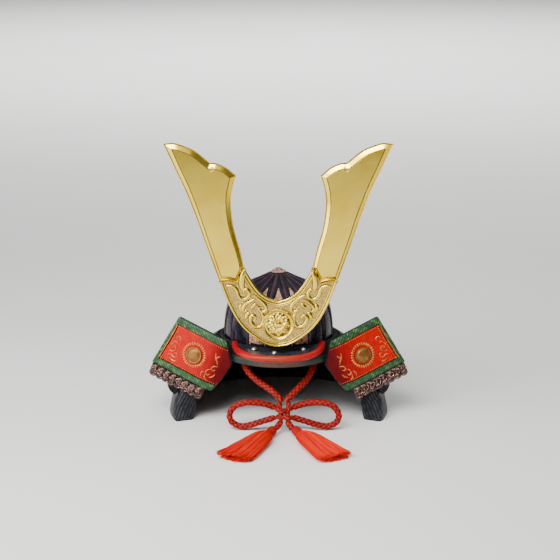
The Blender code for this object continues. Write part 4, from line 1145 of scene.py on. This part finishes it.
def make_visor(finish, rim_finish, stud_finish):
    rings = []
    for turn in range(-VISOR_TURN, VISOR_TURN + 1, 3):
        top = smooth_through(visor_section(turn), 5)
        top[-1] = top[-1] - UP * 0.2 * MM
        rings.append(top + [p - UP * VISOR_SHEET for p in reversed(top)])
    loft_piece("visor_glazed", rings, finish, ("visor",),
               marks={"ridge": [0.0] * (len(rings) * len(rings[0]))})
    path = [visor_edge(turn / 2) for turn in range(-180, 181, 5)]
    line = evenly(path, 220)
    rings = []
    for i, (point, (side, over)) in enumerate(zip(line, tube_frames(line))):
        from_end = min(i, len(line) - 1 - i) * line_length(line) / len(line)
        swell = max(quarter_round(from_end / RIM_RADIUS), 0.2)
        rings.append([point + RIM_RADIUS * swell * spoke(side, over, angle) for angle in turns(24)])
    loft_piece("visor_rim_rolled", rings, rim_finish, ("visor_rim",))
    profile = [(0.2, 0.0), (0.98, 0.0), (1.0, 0.12), (0.96, 0.24), (0.82, 0.28), (0.76, 0.36),
               (0.70, 0.62), (0.54, 0.84), (0.34, 0.96), (0.12, 1.0)]
    for node, (turn, share) in RIVETS.items():
        seat, middle, _ = visor_section(turn)
        foot = seat + (middle - seat) * 2 * share + UP * 2 * SEAT
        rings = lathe_rings(profile, lambda r, a, h, foot=foot: foot + Vector(
            (r * RIVET_RADIUS * math.cos(a), r * RIVET_RADIUS * math.sin(a), h * RIVET_HEIGHT)), 32)
        loft_piece(node + "_domed", rings, stud_finish, (node,))


GUARD_SPREAD = GUARD_SKIRT_RADIUS - GUARD_TOP_RADIUS
GUARD_FALL = GUARD_TOP_Z - GUARD_SKIRT_Z
GUARD_FLARE = math.atan2(GUARD_SPREAD, GUARD_FALL)
GUARD_LAME = math.hypot(GUARD_SPREAD, GUARD_FALL) / GUARD_LAMES
GUARD_STEP = (GUARD_SHEET + SEAT) * (GUARD_LAME + GUARD_LAP) / GUARD_LAME


def guard_point(along, out):
    radius = GUARD_TOP_RADIUS + along * math.sin(GUARD_FLARE) + out * math.cos(GUARD_FLARE)
    return radius, GUARD_TOP_Z - along * math.cos(GUARD_FLARE) + out * math.sin(GUARD_FLARE)


def lacing(arc, pitch=LACING_PITCH):
    """Height from 0 to 1 across a row of lacing ridges."""
    return abs(math.sin(math.pi * arc / pitch)) ** 0.55


def make_lame(index, finish):
    """One flared lame: lacing ridges between a plain upper and a plain lower edge."""
    top = index * GUARD_LAME
    bottom = top + GUARD_LAME + GUARD_LAP
    outer = [(0.0, 0.0), (0.03, 0.35), (0.10, 0.2), (LACED_FROM, 0.9), (0.3, 1.0), (0.5, 1.0),
             (0.7, 1.0), (LACED_TO, 0.9), (0.86, 0.1), (0.90, 0.3), (0.97, 0.3), (1.0, 0.0)]
    start_top, start_bottom = LAME_STARTS[index]
    columns = 900

    def place(i, v, depth):
        start = start_top + (start_bottom - start_top) * v
        spot = guard_point(top + (bottom - top) * v, GUARD_STEP * v - depth)
        return start + (360 - 2 * start) * i / columns, *spot

    rings, ridges = [], []
    for i in range(columns + 1):
        ring = []
        for v, relief in outer:
            azimuth, radius, height = place(i, v, 0.0)
            rib = lacing(math.radians(azimuth) * radius, LACING_PITCH * radius / GUARD_TOP_RADIUS)
            laced = LACED_FROM <= v <= LACED_TO
            lift = LACING_DEPTH * relief * (rib if laced else 0.8) - LACING_DEPTH * 0.5
            ring.append(around(radius + lift * math.cos(GUARD_FLARE), azimuth,
                               height + lift * math.sin(GUARD_FLARE)))
            ridges.append(rib * relief if laced else 0.45 * relief)
        for v in (1.0, 0.5, 0.0):
            azimuth, radius, height = place(i, v, GUARD_SHEET)
            if index == 0 and v == 0.0:
                radius = BAND_OUTER + 1.5 * SEAT
            ring.append(around(radius, azimuth, height))
            ridges.append(0.0)
        rings.append(ring)
    name = f"neck_guard_lame_{index + 1}"
    first = len(outer)
    loft_piece(name + "_laced", rings, finish, (name,), marks={"ridge": ridges},
               inside=(first, first + 1))


def skirt_profile(azimuth):
    into = min(azimuth, 360 - azimuth) - FOOT_FRONT
    swell = 1 - min(into / FOOT_RUN, 1.0)
    return into, GUARD_SHEET + (FOOT_WIDTH - GUARD_SHEET) * math.sqrt(swell)


def make_skirt(finish):
    """Lowest lame: laced all round, with a thick rounded foot at each front end."""
    rounding = math.degrees(FOOT_ROUND / GUARD_FOOT_RADIUS)
    rounded = [FOOT_FRONT + rounding * (i / 6) ** 2 for i in range(6)]
    straight = steps(FOOT_FRONT + rounding, 360 - FOOT_FRONT - rounding, 1000)
    azimuths = rounded + straight + [360 - a for a in reversed(rounded)]
    rows = 9
    rings, ridges = [], []
    for azimuth in azimuths:
        into, width = skirt_profile(azimuth)
        pull = FOOT_ROUND * (1 - quarter_round(clamp(into / rounding)))
        ring = []
        for v in steps(0.0, 1.0, rows - 1):
            radius = GUARD_SKIRT_RADIUS + (GUARD_FOOT_RADIUS - GUARD_SKIRT_RADIUS) * v
            z = GUARD_SKIRT_Z + (FOOT_EDGE - GUARD_SKIRT_Z) * v
            arc = math.radians(azimuth) * GUARD_FOOT_RADIUS
            rib = lacing(arc, LACING_PITCH * 1.35)
            ring.append(around(radius - SEAT - pull - LACING_DEPTH * (1 - rib) * (0.2 < v < 0.99),
                               azimuth, z))
            ridges.append(rib * min(v * 5, 1.0))
        ring += [around(GUARD_FOOT_RADIUS - pull - FOOT_EDGE, azimuth, 0.0),
                 around(GUARD_FOOT_RADIUS - width + pull + FOOT_EDGE, azimuth, 0.0),
                 around(GUARD_FOOT_RADIUS - width + pull, azimuth, FOOT_EDGE),
                 around(GUARD_SKIRT_RADIUS - width + pull, azimuth, GUARD_SKIRT_Z)]
        ridges += [0.2, 0.0, 0.0, 0.0]
        rings.append(ring)
    loft_piece("neck_guard_skirt_laced", rings, finish, ("neck_guard_skirt",),
               marks={"ridge": ridges}, inside=(rows + 1, rows + 2))
    for label, side in (("left", -1), ("right", 1)):
        make_foot_face(label, side, finish[0])


def make_foot_face(label, side, finish):
    """The rounded, combed front of one foot, its furrows leaning inwards as they rise."""
    turn = math.radians(FOOT_FRONT)
    outward = Vector((math.sin(turn) * side, -math.cos(turn), 0.0))
    forward = Vector((-math.cos(turn) * side, -math.sin(turn), 0.0))

    def spot(u, v, front):
        z = FOOT_EDGE + (FOOT_TOP - FOOT_EDGE) * v
        belly = FOOT_BELLY * math.sin(math.pi * min(v * 1.25, 1.0))
        outer = GUARD_FOOT_RADIUS + belly - (z / GUARD_SKIRT_Z) ** 1.5 * 4.0 * MM
        width = FOOT_WIDTH + 0.3 * MM + 2 * belly
        round_off = (1 - abs(2 * u - 1) ** 3.0) ** (1 / 3.0)
        lip = quarter_round(min(v, 1 - v) * 16)
        arc = width * (u - 0.5) + FOOT_WRAP * math.copysign(1 - round_off, u - 0.5)
        rib = lacing(arc - FURROW_LEAN * z + MM * math.sin(z / (9 * MM)), FURROW_PITCH)
        face = (FOOT_WRAP + 1.5 * MM) * round_off * (0.75 + 0.25 * lip) - FOOT_WRAP
        lift = front * (face - FURROW_DEPTH * (1 - rib) * lip) - (1 - front) * FOOT_WRAP
        return outward * (outer - width * u) + forward * lift + UP * z, {"ridge": rib * front}

    grid_piece(f"foot_face_{label}", steps(0.0, 1.0, 80), steps(0.0, 1.0, 24), spot, finish)


PANEL_RADIUS = PANEL_STAND + GUARD_TOP_RADIUS + (GUARD_TOP_Z - PANEL_Z) * math.tan(GUARD_FLARE)


def panel_axes(side):
    """Along the panel towards the helmet, up the panel, and out of its face."""
    yaw, lean, roll = (math.radians(a) for a in (PANEL_YAW, PANEL_LEAN, PANEL_ROLL))
    out = Vector((math.sin(yaw) * math.cos(lean), -math.cos(yaw) * math.cos(lean), math.sin(lean)))
    level = Vector((-math.cos(yaw), -math.sin(yaw), 0.0))
    rise = level.cross(out)
    if rise.z < 0:
        rise = -rise
    along = level * math.cos(roll) - rise * math.sin(roll)
    up = level * math.sin(roll) + rise * math.cos(roll)
    return [Vector((axis.x * side, axis.y, axis.z)) for axis in (along, up, out)]


def panel_point(side, along, up, out):
    a, u, o = panel_axes(side)
    back = PANEL_CURL * (max(along - CURL_START, 0.0) / (PANEL_BOTTOM_WIDTH - PANEL_OUTER)) ** 2
    return around(PANEL_RADIUS, PANEL_BEARING * side, PANEL_Z) + a * along + u * up + o * (out - back)


def panel_plan(across, rise):
    """Along and up, in metres, of a point given as shares of the panel's outline."""
    lean_in = (PANEL_BOTTOM_WIDTH - PANEL_TOP_WIDTH) * PANEL_TAPER
    outer = -PANEL_OUTER + lean_in * rise
    inner = PANEL_BOTTOM_WIDTH - PANEL_OUTER - (PANEL_BOTTOM_WIDTH - PANEL_TOP_WIDTH - lean_in) * rise
    pointed = min(rise / PANEL_POINT, (1 - rise) / (1 - PANEL_POINT))
    inner += PANEL_BULGE * (rise * (1 - rise) + 0.72 * pointed)
    return outer + (inner - outer) * across, (rise - PANEL_MIDDLE) * PANEL_HEIGHT


# Shares of the panel's outline that its border and the gap beside it take up
EDGE = BORDER_EDGE_WIDTH / PANEL_BOTTOM_WIDTH
BAND = BORDER_WIDTH / PANEL_HEIGHT
SLOPE = BORDER_SLOPE / PANEL_HEIGHT
FIELD_FIRST = EDGE + SLOPE + SEAT / PANEL_HEIGHT
FIELD_LOW = BAND + SLOPE + SEAT / PANEL_HEIGHT


def border_share(across, rise):
    """1 on the panel's border, 0 on its field, with a short slope between."""
    return 1 - smooth_step(min(across - EDGE, min(rise, 1 - rise) - BAND), 0.0, SLOPE)


def braid_border(along, up):
    """Slanting ribs, as a braid sewn round the panel; their height also sets the border's painted
    highlight and shade.
    """
    return abs(math.sin(math.pi * (along + up) / BORDER_RIB_PITCH)) ** 0.5


def make_panel(side, label, border_finish, field_finish):
    def border_spot(across, rise, front):
        along, up = panel_plan(across, rise)
        border, ridge = border_share(across, rise), braid_border(along, up)
        rim = min(across * 40, (1 - across) * 40, rise * 30, (1 - rise) * 30, 1.0)
        out = border * (BORDER_HEIGHT - BORDER_RIB_DEPTH * (1 - ridge)
                        - BORDER_RIM_FALL * (1 - rim) ** 2)
        return (panel_point(side, along, up, out if front else -PANEL_SHEET),
                {"border": border * front, "ridge": ridge * front})

    def field_spot(across, rise, front):
        along, up = panel_plan(across, rise)
        rim = min((across - FIELD_FIRST) * 25, (rise - FIELD_LOW) * 25,
                  (1 - FIELD_LOW - rise) * 25, 1.0)
        out = FIELD_FACE - FIELD_RIM_FALL * (1 - rim) ** 2
        return panel_point(side, along, up, out if front else SEAT), {"along": along, "up": up}

    acrosses = (steps(0.0, EDGE, 6) + steps(EDGE, EDGE + SLOPE, 3)[1:]
                + steps(EDGE + SLOPE, 1.0, 90)[1:])
    rises = (steps(0.0, BAND, 7) + steps(BAND, BAND + SLOPE, 3)[1:]
             + steps(BAND + SLOPE, 0.5, 8)[1:])
    rises += [1 - r for r in reversed(rises[:-1])]
    grid_piece(f"side_panel_{label}_glazed", acrosses, rises, border_spot, border_finish,
               (f"side_panel_{label}",))
    grid_piece(f"panel_field_{label}_lined", steps(FIELD_FIRST, 1.0, 60),
               steps(FIELD_LOW, 1 - FIELD_LOW, 36), field_spot, field_finish,
               (f"panel_field_{label}",))


def make_disc(side, label, finish):
    profile = [(0.2, 0.0), (1.0, 0.0), (1.04, 0.20), (1.0, 0.42), (0.90, 0.48), (0.86, 0.40),
               (0.82, 0.42), (0.78, 0.62), (0.66, 0.80), (0.46, 0.93), (0.24, 0.99), (0.05, 1.0)]
    rings = lathe_rings(profile, lambda r, a, h: panel_point(
        side, r * DISC_RADIUS * math.cos(a), r * DISC_RADIUS * math.sin(a),
        FIELD_FACE + SEAT + h * DISC_HEIGHT), 64)
    loft_piece(f"panel_disc_{label}_domed", rings, finish,
               (f"panel_disc_{label}",), sharp=50.0)


def field_outline():
    """The flat line of dots, just inside the field's three straight edges."""
    outline = []
    for end, rise_from, rise_to, across_from, across_to in (
            (1, FIELD_LOW, FIELD_LOW, 1.0, FIELD_FIRST),
            (0, FIELD_LOW, 1 - FIELD_LOW, FIELD_FIRST, FIELD_FIRST),
            (-1, 1 - FIELD_LOW, 1 - FIELD_LOW, FIELD_FIRST, 1.0)):
        for across, rise in zip(steps(across_from, across_to, 59), steps(rise_from, rise_to, 59)):
            along, up = panel_plan(across, rise)
            outline.append(Vector((along + DOT_INSET * 1.1 * (end == 0), up + DOT_INSET * end, 0.0)))
    return outline


def make_gilding(side, label, finish, copies, strands, forms):
    """Petals round the disc, dots along the border, painted scrolls and a line beside the field."""
    a_axis, u_axis, o_axis = panel_axes(side)
    petals = []
    for angle in turns(PETALS_ROUND_DISC):
        spot = panel_point(side, PETAL_RING_RADIUS * math.cos(angle),
                           PETAL_RING_RADIUS * math.sin(angle), FIELD_FACE)
        petals.append((spot, o_axis, spoke(a_axis, u_axis, angle), 1.0))
    scattered(f"disc_petals_{label}", forms["petal"], petals, copies, finish,
              PETAL_SIZE)
    outline = field_outline()
    dots = [(panel_point(side, spot.x, spot.y, FIELD_FACE), o_axis, a_axis, 1.0)
            for spot in evenly(outline, int(line_length(outline) / DOT_PITCH))]
    scattered(f"field_dots_{label}", forms["dot"], dots, copies, finish, DOT_SIZE)
    guides = []
    for stroke in PANEL_SCROLLS:
        points = [panel_point(side, p.x, p.y, FIELD_FACE - SCROLL_SINK)
                  for p in smooth_through([(*spot, 0.0) for spot in stroke], 5, MM)]
        radii = [(0.28 + 0.42 * math.sin(math.pi * min(share * 1.1, 1.0))) * MM
                 for share in steps(0.0, 1.0, len(points) - 1)]
        guides.append((points, radii, 0.5))
    line = [panel_point(side, *panel_plan(EDGE, rise), BORDER_HEIGHT)
            for rise in steps(FIELD_LOW, 1 - FIELD_LOW, 30)]
    guides.append((line, [0.45 * MM] * len(line), 0.5))
    stranded(f"panel_scrolls_{label}", guides, strands, 6, finish)


# Painted scrollwork on a side panel, in millimetres along and up it from its disc's centre
PANEL_SCROLLS = [
    [(-21.5, -9.5), (-18.5, -8.2), (-15.5, -9.2), (-13.2, -7.6), (-13.8, -5.4), (-15.6, -5.8)],
    [(-21.0, -5.6), (-18.0, -5.2), (-16.0, -3.0), (-17.4, -0.6), (-19.6, -1.6), (-18.6, -3.0)],
    [(-21.4, -2.4), (-20.8, 1.0), (-18.6, 3.2), (-16.4, 2.0)],
    [(-17.6, -11.6), (-14.6, -12.4), (-12.4, -11.0)],
    [(-19.6, 6.0), (-17.6, 8.2), (-15.4, 7.2), (-15.8, 5.4)],
    [(16.2, 9.6), (17.2, 6.4), (19.2, 3.6), (20.6, 0.8)],
    [(20.0, 8.4), (18.4, 6.6), (17.4, 4.6)],
    [(21.2, -0.4), (18.6, -1.2), (17.4, -3.2), (18.8, -4.8), (20.4, -3.8)],
    [(17.0, -4.4), (14.8, -6.2), (14.6, -8.8), (16.6, -9.8), (17.8, -8.4)],
    [(21.6, -7.2), (20.4, -9.8), (18.2, -11.2)],
    [(14.4, -10.0), (15.0, -12.6), (17.2, -14.2)],
    [(12.6, -8.0), (11.0, -10.4), (11.6, -13.0)],
]


def make_scale_row(side, label, finish, boss_finish, copies, forms):
    """Overlapping rounded scale ends under the panel's lower border, each with a boss and a ring."""
    start, low = panel_plan(SCALE_ROW_FROM, 0.0)
    end, _ = panel_plan(SCALE_ROW_TO, 0.0)
    per_scale = 18
    count = SCALES * per_scale
    section = [(0.30, 0.00), (0.44, -0.06), (0.58, -0.25), (0.62, -0.48), (0.56, -0.74),
               (0.40, -0.93), (0.18, -1.0), (-0.18, -1.0), (-0.40, -0.90), (-0.50, -0.60),
               (-0.45, 0.00)]
    rings = []
    centre = BORDER_HEIGHT / 2 - PANEL_SHEET / 2
    for i in range(count + 1):
        swell = 0.62 + 0.38 * math.sin(math.pi * (i % per_scale) / per_scale) ** 0.7
        along = start + (end - start) * i / count
        height = SCALE_ROW_HEIGHT * (0.72 + 0.28 * swell)
        rings.append([panel_point(side, along, low - SEAT + height * up,
                                  centre + SCALE_ROW_DEPTH * swell * out) for out, up in section])
    loft_piece(f"scale_row_{label}_modelled", rings, finish, (f"scale_row_{label}",),
               sharp=70.0)
    a_axis, u_axis, o_axis = panel_axes(side)
    rng = random.Random(SEED + side)
    bosses = []
    for k in range(2 * SCALES):
        scale, lower = divmod(k, 2)
        along = start + (end - start) * (scale + 0.42 + 0.4 * lower) / SCALES
        spot = panel_point(side, along, low - SEAT - SCALE_ROW_HEIGHT * (0.34 + 0.34 * lower),
                           centre + SCALE_ROW_DEPTH * (0.54 - 0.04 * lower))
        turn = rng.uniform(-0.9, 0.9)
        bosses.append((spot, (o_axis - (0.1 + 0.3 * lower) * u_axis).normalized(),
                       spoke(a_axis, u_axis, turn),
                       rng.uniform(0.9, 1.1) * (1.0 - 0.2 * lower)))
    scattered(f"scale_bosses_{label}", forms["boss"], bosses, copies, boss_finish,
              SCALE_BOSS_SIZE)


def crest_point(across, rise):
    """A point of the crest's face, given in thousandths of its half width and height."""
    return Vector((across / 1000 * CREST_HALF_WIDTH, CREST_LOW.z + rise / 1000 * CREST_HEIGHT, 0.0))


def crest_curve(table, spans):
    return smooth_through([crest_point(*row) for row in table], spans)


def crossing(a, b, c, d):
    """Where the lines through a, b and c, d cross, as shares of each span."""
    r, s = b - a, d - c
    bottom = r.x * s.y - r.y * s.x
    if abs(bottom) < 1e-12:
        return None
    t = ((c.x - a.x) * s.y - (c.y - a.y) * s.x) / bottom
    u = ((c.x - a.x) * r.y - (c.y - a.y) * r.x) / bottom
    return t, u


def slope_width(point):
    share = ((point.y - CREST_LOW.z) / CREST_HEIGHT - 0.33) / 0.67
    return SLOPE_LOW + (SLOPE_HIGH - SLOPE_LOW) * clamp(share)


def offset_line(line, distance, slopes=0.0):
    """An open flat line moved to its left, also by a share of the horns' slope width."""
    moved = []
    for i, point in enumerate(line):
        away = distance + slopes * slope_width(point)
        moved.append(point + away * left_of(heading(line, i)))
    return moved


def meet(one, two):
    """Two offset lines cut back, or carried on, to where they cross."""
    for i in reversed(range(len(one) - 1)):
        for j in range(len(two) - 1):
            shares = crossing(one[i], one[i + 1], two[j], two[j + 1])
            if shares and 0 <= shares[0] <= 1 and 0 <= shares[1] <= 1:
                corner = one[i].lerp(one[i + 1], shares[0])
                return one[:i + 1] + [corner], [corner] + two[j + 1:]
    shares = crossing(one[-2], one[-1], two[0], two[1])
    if shares and abs(shares[0]) < 40:
        corner = one[-2] + (one[-1] - one[-2]) * shares[0]
        return one[:-1] + [corner], [corner] + two[1:]
    return one, two


def inset_ring(edges, distance, slopes=0.0):
    """A closed outline of several edges moved inwards, with as many points as before."""
    moved = [offset_line(edge, distance, slopes) for edge in edges]
    if distance or slopes:
        for k in range(len(moved)):
            after = (k + 1) % len(moved)
            moved[k], moved[after] = meet(moved[k], moved[after])
    ring = []
    for edge, line in zip(edges, moved):
        ring += evenly(line, len(edge))[:-1]
    return ring


def on_crest(flat, out):
    """A flat point as a place in front of the crest sheet's front face."""
    return Vector((flat.x, -(CREST_FACE + out), flat.y))


def mirrored(line):
    """A flat line on the other side of the middle, running the other way."""
    return [Vector((-p.x, p.y, 0.0)) for p in reversed(line)]


def horn_edges():
    return [crest_curve(table, 10) for table in (
        CREST_OUTER_EDGE, CREST_TOP_OUTER, CREST_TOP_INNER, CREST_INNER_EDGE, CREST_JUNCTION_INNER,
        CREST_JUNCTION_LOWER)]


def whole_crest_edges():
    """The crest's outline as edges between its corners, all the way round."""
    right = [crest_curve(CREST_PLATE_EDGE + CREST_OUTER_EDGE[1:], 10)]
    right += [crest_curve(table, 10) for table in (CREST_TOP_OUTER, CREST_TOP_INNER)]
    right += [crest_curve(CREST_INNER_EDGE + CREST_NECK[1:], 10)]
    left = [mirrored(edge) for edge in reversed(right)]
    neck = right[3][:-1] + left[0]
    base = left[3][:-1] + right[0]
    return [base, right[1], right[2], neck, left[1], left[2]]


RIDGE_POINTS = 11


def ridge(path, half_width, height, taper=0.0, level=0.0):
    """A rounded ridge along a flat path on the crest's face, as rings and their crevice marks."""
    rings, marks = [], []
    last = len(path) - 1
    for i, point in enumerate(path):
        across = left_of(heading(path, i))
        slim = 1 - taper * (1 - min(min(i, last - i) / last / 0.3, 1.0)) ** 2
        ring = []
        for k in range(RIDGE_POINTS):
            angle = math.pi * k / (RIDGE_POINTS - 1)
            spot = point + across * half_width * slim * math.cos(angle)
            out = level + height * (0.45 + 0.55 * slim) * math.sin(angle) - 0.15 * MM
            ring.append(on_crest(spot, out))
            # The points where the ridge meets the ground are marked as crevices, for painted shade
            marks.append({0: 1.0, 1: 1.0, 2: 0.6}.get(min(k, RIDGE_POINTS - 1 - k), 0.0))
        rings.append(ring)
    return rings, marks


def both_sides(part):
    rings, marks = part
    return [part, ([[Vector((-p.x, p.y, p.z)) for p in ring] for ring in rings], marks)]


# Levels of a horn from its lip to its field: inset and height in mm, share of the slope, crevice;
# crevice 1 paints the grooves on either side of the slope dark, as painted shade and painted dark
# reflection
HORN_LEVELS = [(0.05, -0.30, 0.0, 0.0), (0.05, 0.14, 0.0, 0.0), (0.22, 0.36, 0.0, 0.0),
               (0.50, 0.40, 0.0, 0.0), (0.72, 0.22, 0.0, 0.0), (0.80, 0.00, 0.0, 1.0),
               (0.92, 0.00, 0.0, 1.0), (1.00, 0.12, 0.05, 0.0), (1.00, 0.75, 0.5, 0.0),
               (1.00, 1.42, 0.95, 0.0), (1.05, 1.38, 1.00, 1.0), (1.45, 1.38, 1.00, 1.0),
               (1.62, 1.50, 1.00, 0.0)]


# Beads along the plate's lower edge and its neck: how far in, half width and height in mm
EDGE_BEADS = [(1.15, 1.1, 1.2), (3.1, 0.45, 0.5)]
NECK_BEADS = [(1.25, 1.2, 1.3), (3.4, 0.85, 1.0), (4.8, 0.35, 0.45)]

# The crest's sheet from its back to its face: inset and level in mm
SHEET_LEVELS = [(0.3, -1.2), (0.08, -1.12), (0.0, -0.9), (0.0, -0.3), (0.08, -0.08), (0.3, 0.0)]


def make_crest(buffed, stippled):
    """Plate and horns: a sheet, raised horn faces with sloping edges, beads and scrollwork."""
    edges = whole_crest_edges()
    sheet = [[on_crest(p, out * MM) for p in inset_ring(edges, inset * MM)]
             for inset, out in SHEET_LEVELS]
    parts = [(sheet, [0.0] * (len(sheet) * len(sheet[0])))]
    edges = horn_edges()
    horn = [[on_crest(p, out * MM) for p in inset_ring(edges, inset * MM, slope)]
            for inset, out, slope, _ in HORN_LEVELS]
    parts += both_sides((horn, [level[3] for level in HORN_LEVELS for _ in horn[0]]))
    edge = crest_curve(CREST_PLATE_EDGE, 10)
    full_edge = mirrored(edge[1:]) + edge
    neck = crest_curve(CREST_NECK, 10)
    full_neck = neck + mirrored(neck[:-1])
    for line, beads in ((full_edge, EDGE_BEADS), (full_neck, NECK_BEADS)):
        for away, width, height in beads:
            parts.append(ridge(offset_line(line, away * MM), width * MM, height * MM))
    ledge = offset_line(crest_curve(CREST_JUNCTION_LOWER, 8), -0.9 * MM)
    parts += both_sides(ridge(ledge, 1.1 * MM, 1.9 * MM, 0.3))
    parts += both_sides(ridge(crest_curve(CREST_BUD, 8), 2.4 * MM, 2.2 * MM, 0.7))
    parts += both_sides(ridge(crest_curve(CREST_KNOB, 6), 1.5 * MM, 2.3 * MM, 0.5))
    for stroke in SCROLL_STROKES:
        parts += both_sides(ridge(crest_curve(stroke, 8), SCROLL_HALF_WIDTH, SCROLL_HEIGHT, 0.62))
    parts += both_sides(ridge(crest_curve(HORN_CURL, 6), 0.4 * MM, 0.45 * MM, 0.6, HORN_RAISE))
    verts, faces, zones, marks = [], [], [], []
    for rings, crevices in parts:
        made = loft_faces(len(rings[0]), len(rings), first=len(verts))
        zones += [0] * (len(made) - 1) + [1 if rings is sheet else 0]
        faces += made
        verts += [p for ring in rings for p in ring]
        marks += crevices
    mesh_piece("crest_struck", verts, faces, [buffed, stippled], ("crest_horns",),
               sharp=24.0, zones=zones, marks={"crevice_shade": marks})


def make_medallion(finish):
    """A domed flower disc: eight ribbed petals round a seeded boss, inside a smooth rim."""
    sides, rows = 160, 40
    rings, marks = [], []
    for i in range(rows + 1):
        reach = 1 - i / rows * 0.985
        ring = []
        for angle in turns(sides):
            petal = 0.5 + 0.5 * math.cos(PETALS * angle)
            small = 0.5 + 0.5 * math.cos(PETALS * (angle + math.pi / PETALS))
            rim = math.exp(-((reach - 0.92) / 0.055) ** 2) * 0.30
            tip = 0.60 + 0.20 * petal ** 0.7
            off_boss = smooth_step(reach, 0.24, 0.34)
            leaf = smooth_step(tip - reach, 0.0, 0.10) * off_boss
            vein = 0.035 * math.cos(3 * PETALS * angle) * leaf
            under = 0.14 * smooth_step(0.50 + 0.30 * small - reach, 0.0, 0.08)
            boss = 0.21 * math.exp(-(reach / 0.20) ** 4)
            rise = 0.30 + 0.22 * (1 - reach ** 2) + rim + 0.20 * leaf * (0.55 + 0.45 * petal) + vein
            rise += under * off_boss + boss
            # The hollows between the petals are marked to be painted darker, as painted shade
            hollow = (1 - leaf) * smooth_step(reach, 0.26, 0.36) * smooth_step(0.80 - reach, 0.0, 0.08)
            marks.append(0.85 * hollow)
            if i == 0:
                rise = 0.0
            flat = Vector((reach * MEDALLION_RADIUS * math.cos(angle),
                           MEDALLION_Z + reach * MEDALLION_RADIUS * math.sin(angle)))
            ring.append(on_crest(flat, SEAT + rise * MEDALLION_HEIGHT))
        rings.append(ring)
    back = [Vector((0.9 * p.x, p.y, MEDALLION_Z + 0.9 * (p.z - MEDALLION_Z))) for p in rings[0]]
    side_ring = [Vector((p.x, p.y - 0.8 * MM, p.z)) for p in rings[0]]
    marks = [0.0] * (3 * sides) + marks[sides:]
    loft_piece("crest_medallion_flower", [back, rings[0], side_ring] + rings[1:], finish,
               ("crest_medallion",), sharp=50.0, marks={"crevice_shade": marks})


def make_stage(finish):
    mesh = bpy.data.meshes.new("studio_floor")
    corners = ((-1, -1), (1, -1), (1, 1), (-1, 1))
    mesh.from_pydata([(x * FLOOR_REACH, y * FLOOR_REACH, 0.0) for x, y in corners], [],
                     [(0, 1, 2, 3)])
    mesh.materials.append(finish)
    place_object("studio_floor", mesh)
    world = bpy.data.worlds.new("studio_air")
    world.use_nodes = True
    bpy.context.scene.world = world
    air = world.node_tree.nodes["Background"]
    air.inputs[0].default_value = linear(AIR_COLOUR)
    air.inputs[1].default_value = AIR_STRENGTH
    for name, values in SOFT_BOXES.items():
        make_soft_box(name, *values)


def keep_node(node, finish):
    """A solid whose shape is already right keeps it and takes the finish."""
    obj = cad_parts[node]
    for slot in obj.material_slots:
        slot.material = finish


def main():
    make_camera()
    copies, strands = scatter_tree(), strand_tree()
    make_cords(braided_silk(), tassel_silk(), strands)
    cloudy = {name: cloudy_finish(name, *values) for name, values in CLOUDY_FINISHES.items()}
    # inner paints the helmet's inside faces and the brow band near-black, as painted shade
    gilt, slate, inner = gilt_brass_buffed(), slate_combed_glaze(), cloudy["inner_painted_shade"]
    navy = gloss_glaze("navy_gloss_glaze", [(0.28, "08060B"), (0.5, "120F1C"), (0.75, "20182E")])
    blue_grey = gloss_glaze("blue_grey_gloss_glaze", [(0.28, "14161E"), (0.5, "262A34"),
                                                      (0.75, "3E434E")])
    make_bowl(navy, inner)
    make_gold_fields(cloudy["rubbed_gold_and_highlight_glaze"])
    make_finial(cloudy["pale_gold_and_highlight_glaze"])
    make_brow_lip(lip_glaze())
    make_visor(blue_grey, scarlet_rim_glaze(), nickel_stud())
    for index in range(GUARD_LAMES):
        make_lame(index, [slate, inner])
    make_skirt([slate, inner])
    border_finish, field_finish = celadon_border_glaze(), scarlet_lined_glaze()
    forms = {
        "petal": small_form("petal_form", [(0.5, -0.4), (1.0, -0.1), (0.9, 0.35), (0.5, 0.6),
                                           (0.1, 0.68)], 8, 1.9),
        "dot": small_form("dot_form", [(0.6, -0.5), (1.0, 0.0), (0.85, 0.5), (0.4, 0.9),
                                       (0.05, 1.0)], 8),
        "boss": small_form("boss_form", [(1.0, 0.0), (0.94, 0.26), (0.80, 0.30), (0.66, 0.12),
                                         (0.74, -0.2), (0.94, -0.2)], 18, 1.35, True),
    }
    for side, label in ((-1, "left"), (1, "right")):
        make_panel(side, label, border_finish, field_finish)
        make_disc(side, label, cloudy["gold_disc_glaze"])
        make_gilding(side, label, cloudy["liquid_gold_line"], copies, strands, forms)
        make_scale_row(side, label, cloudy["bronze_lustre_glaze"], cloudy["rosy_glint_lustre_glaze"],
                       copies, forms)
    for form in forms.values():
        bpy.data.objects.remove(form, do_unlink=True)
    make_crest(gilt, gilt_brass_stippled())
    make_medallion(gilt)
    keep_node("brow_band", inner)
    keep_node("crest_post", gilt)
    make_stage(cloudy["studio_floor"])


main()
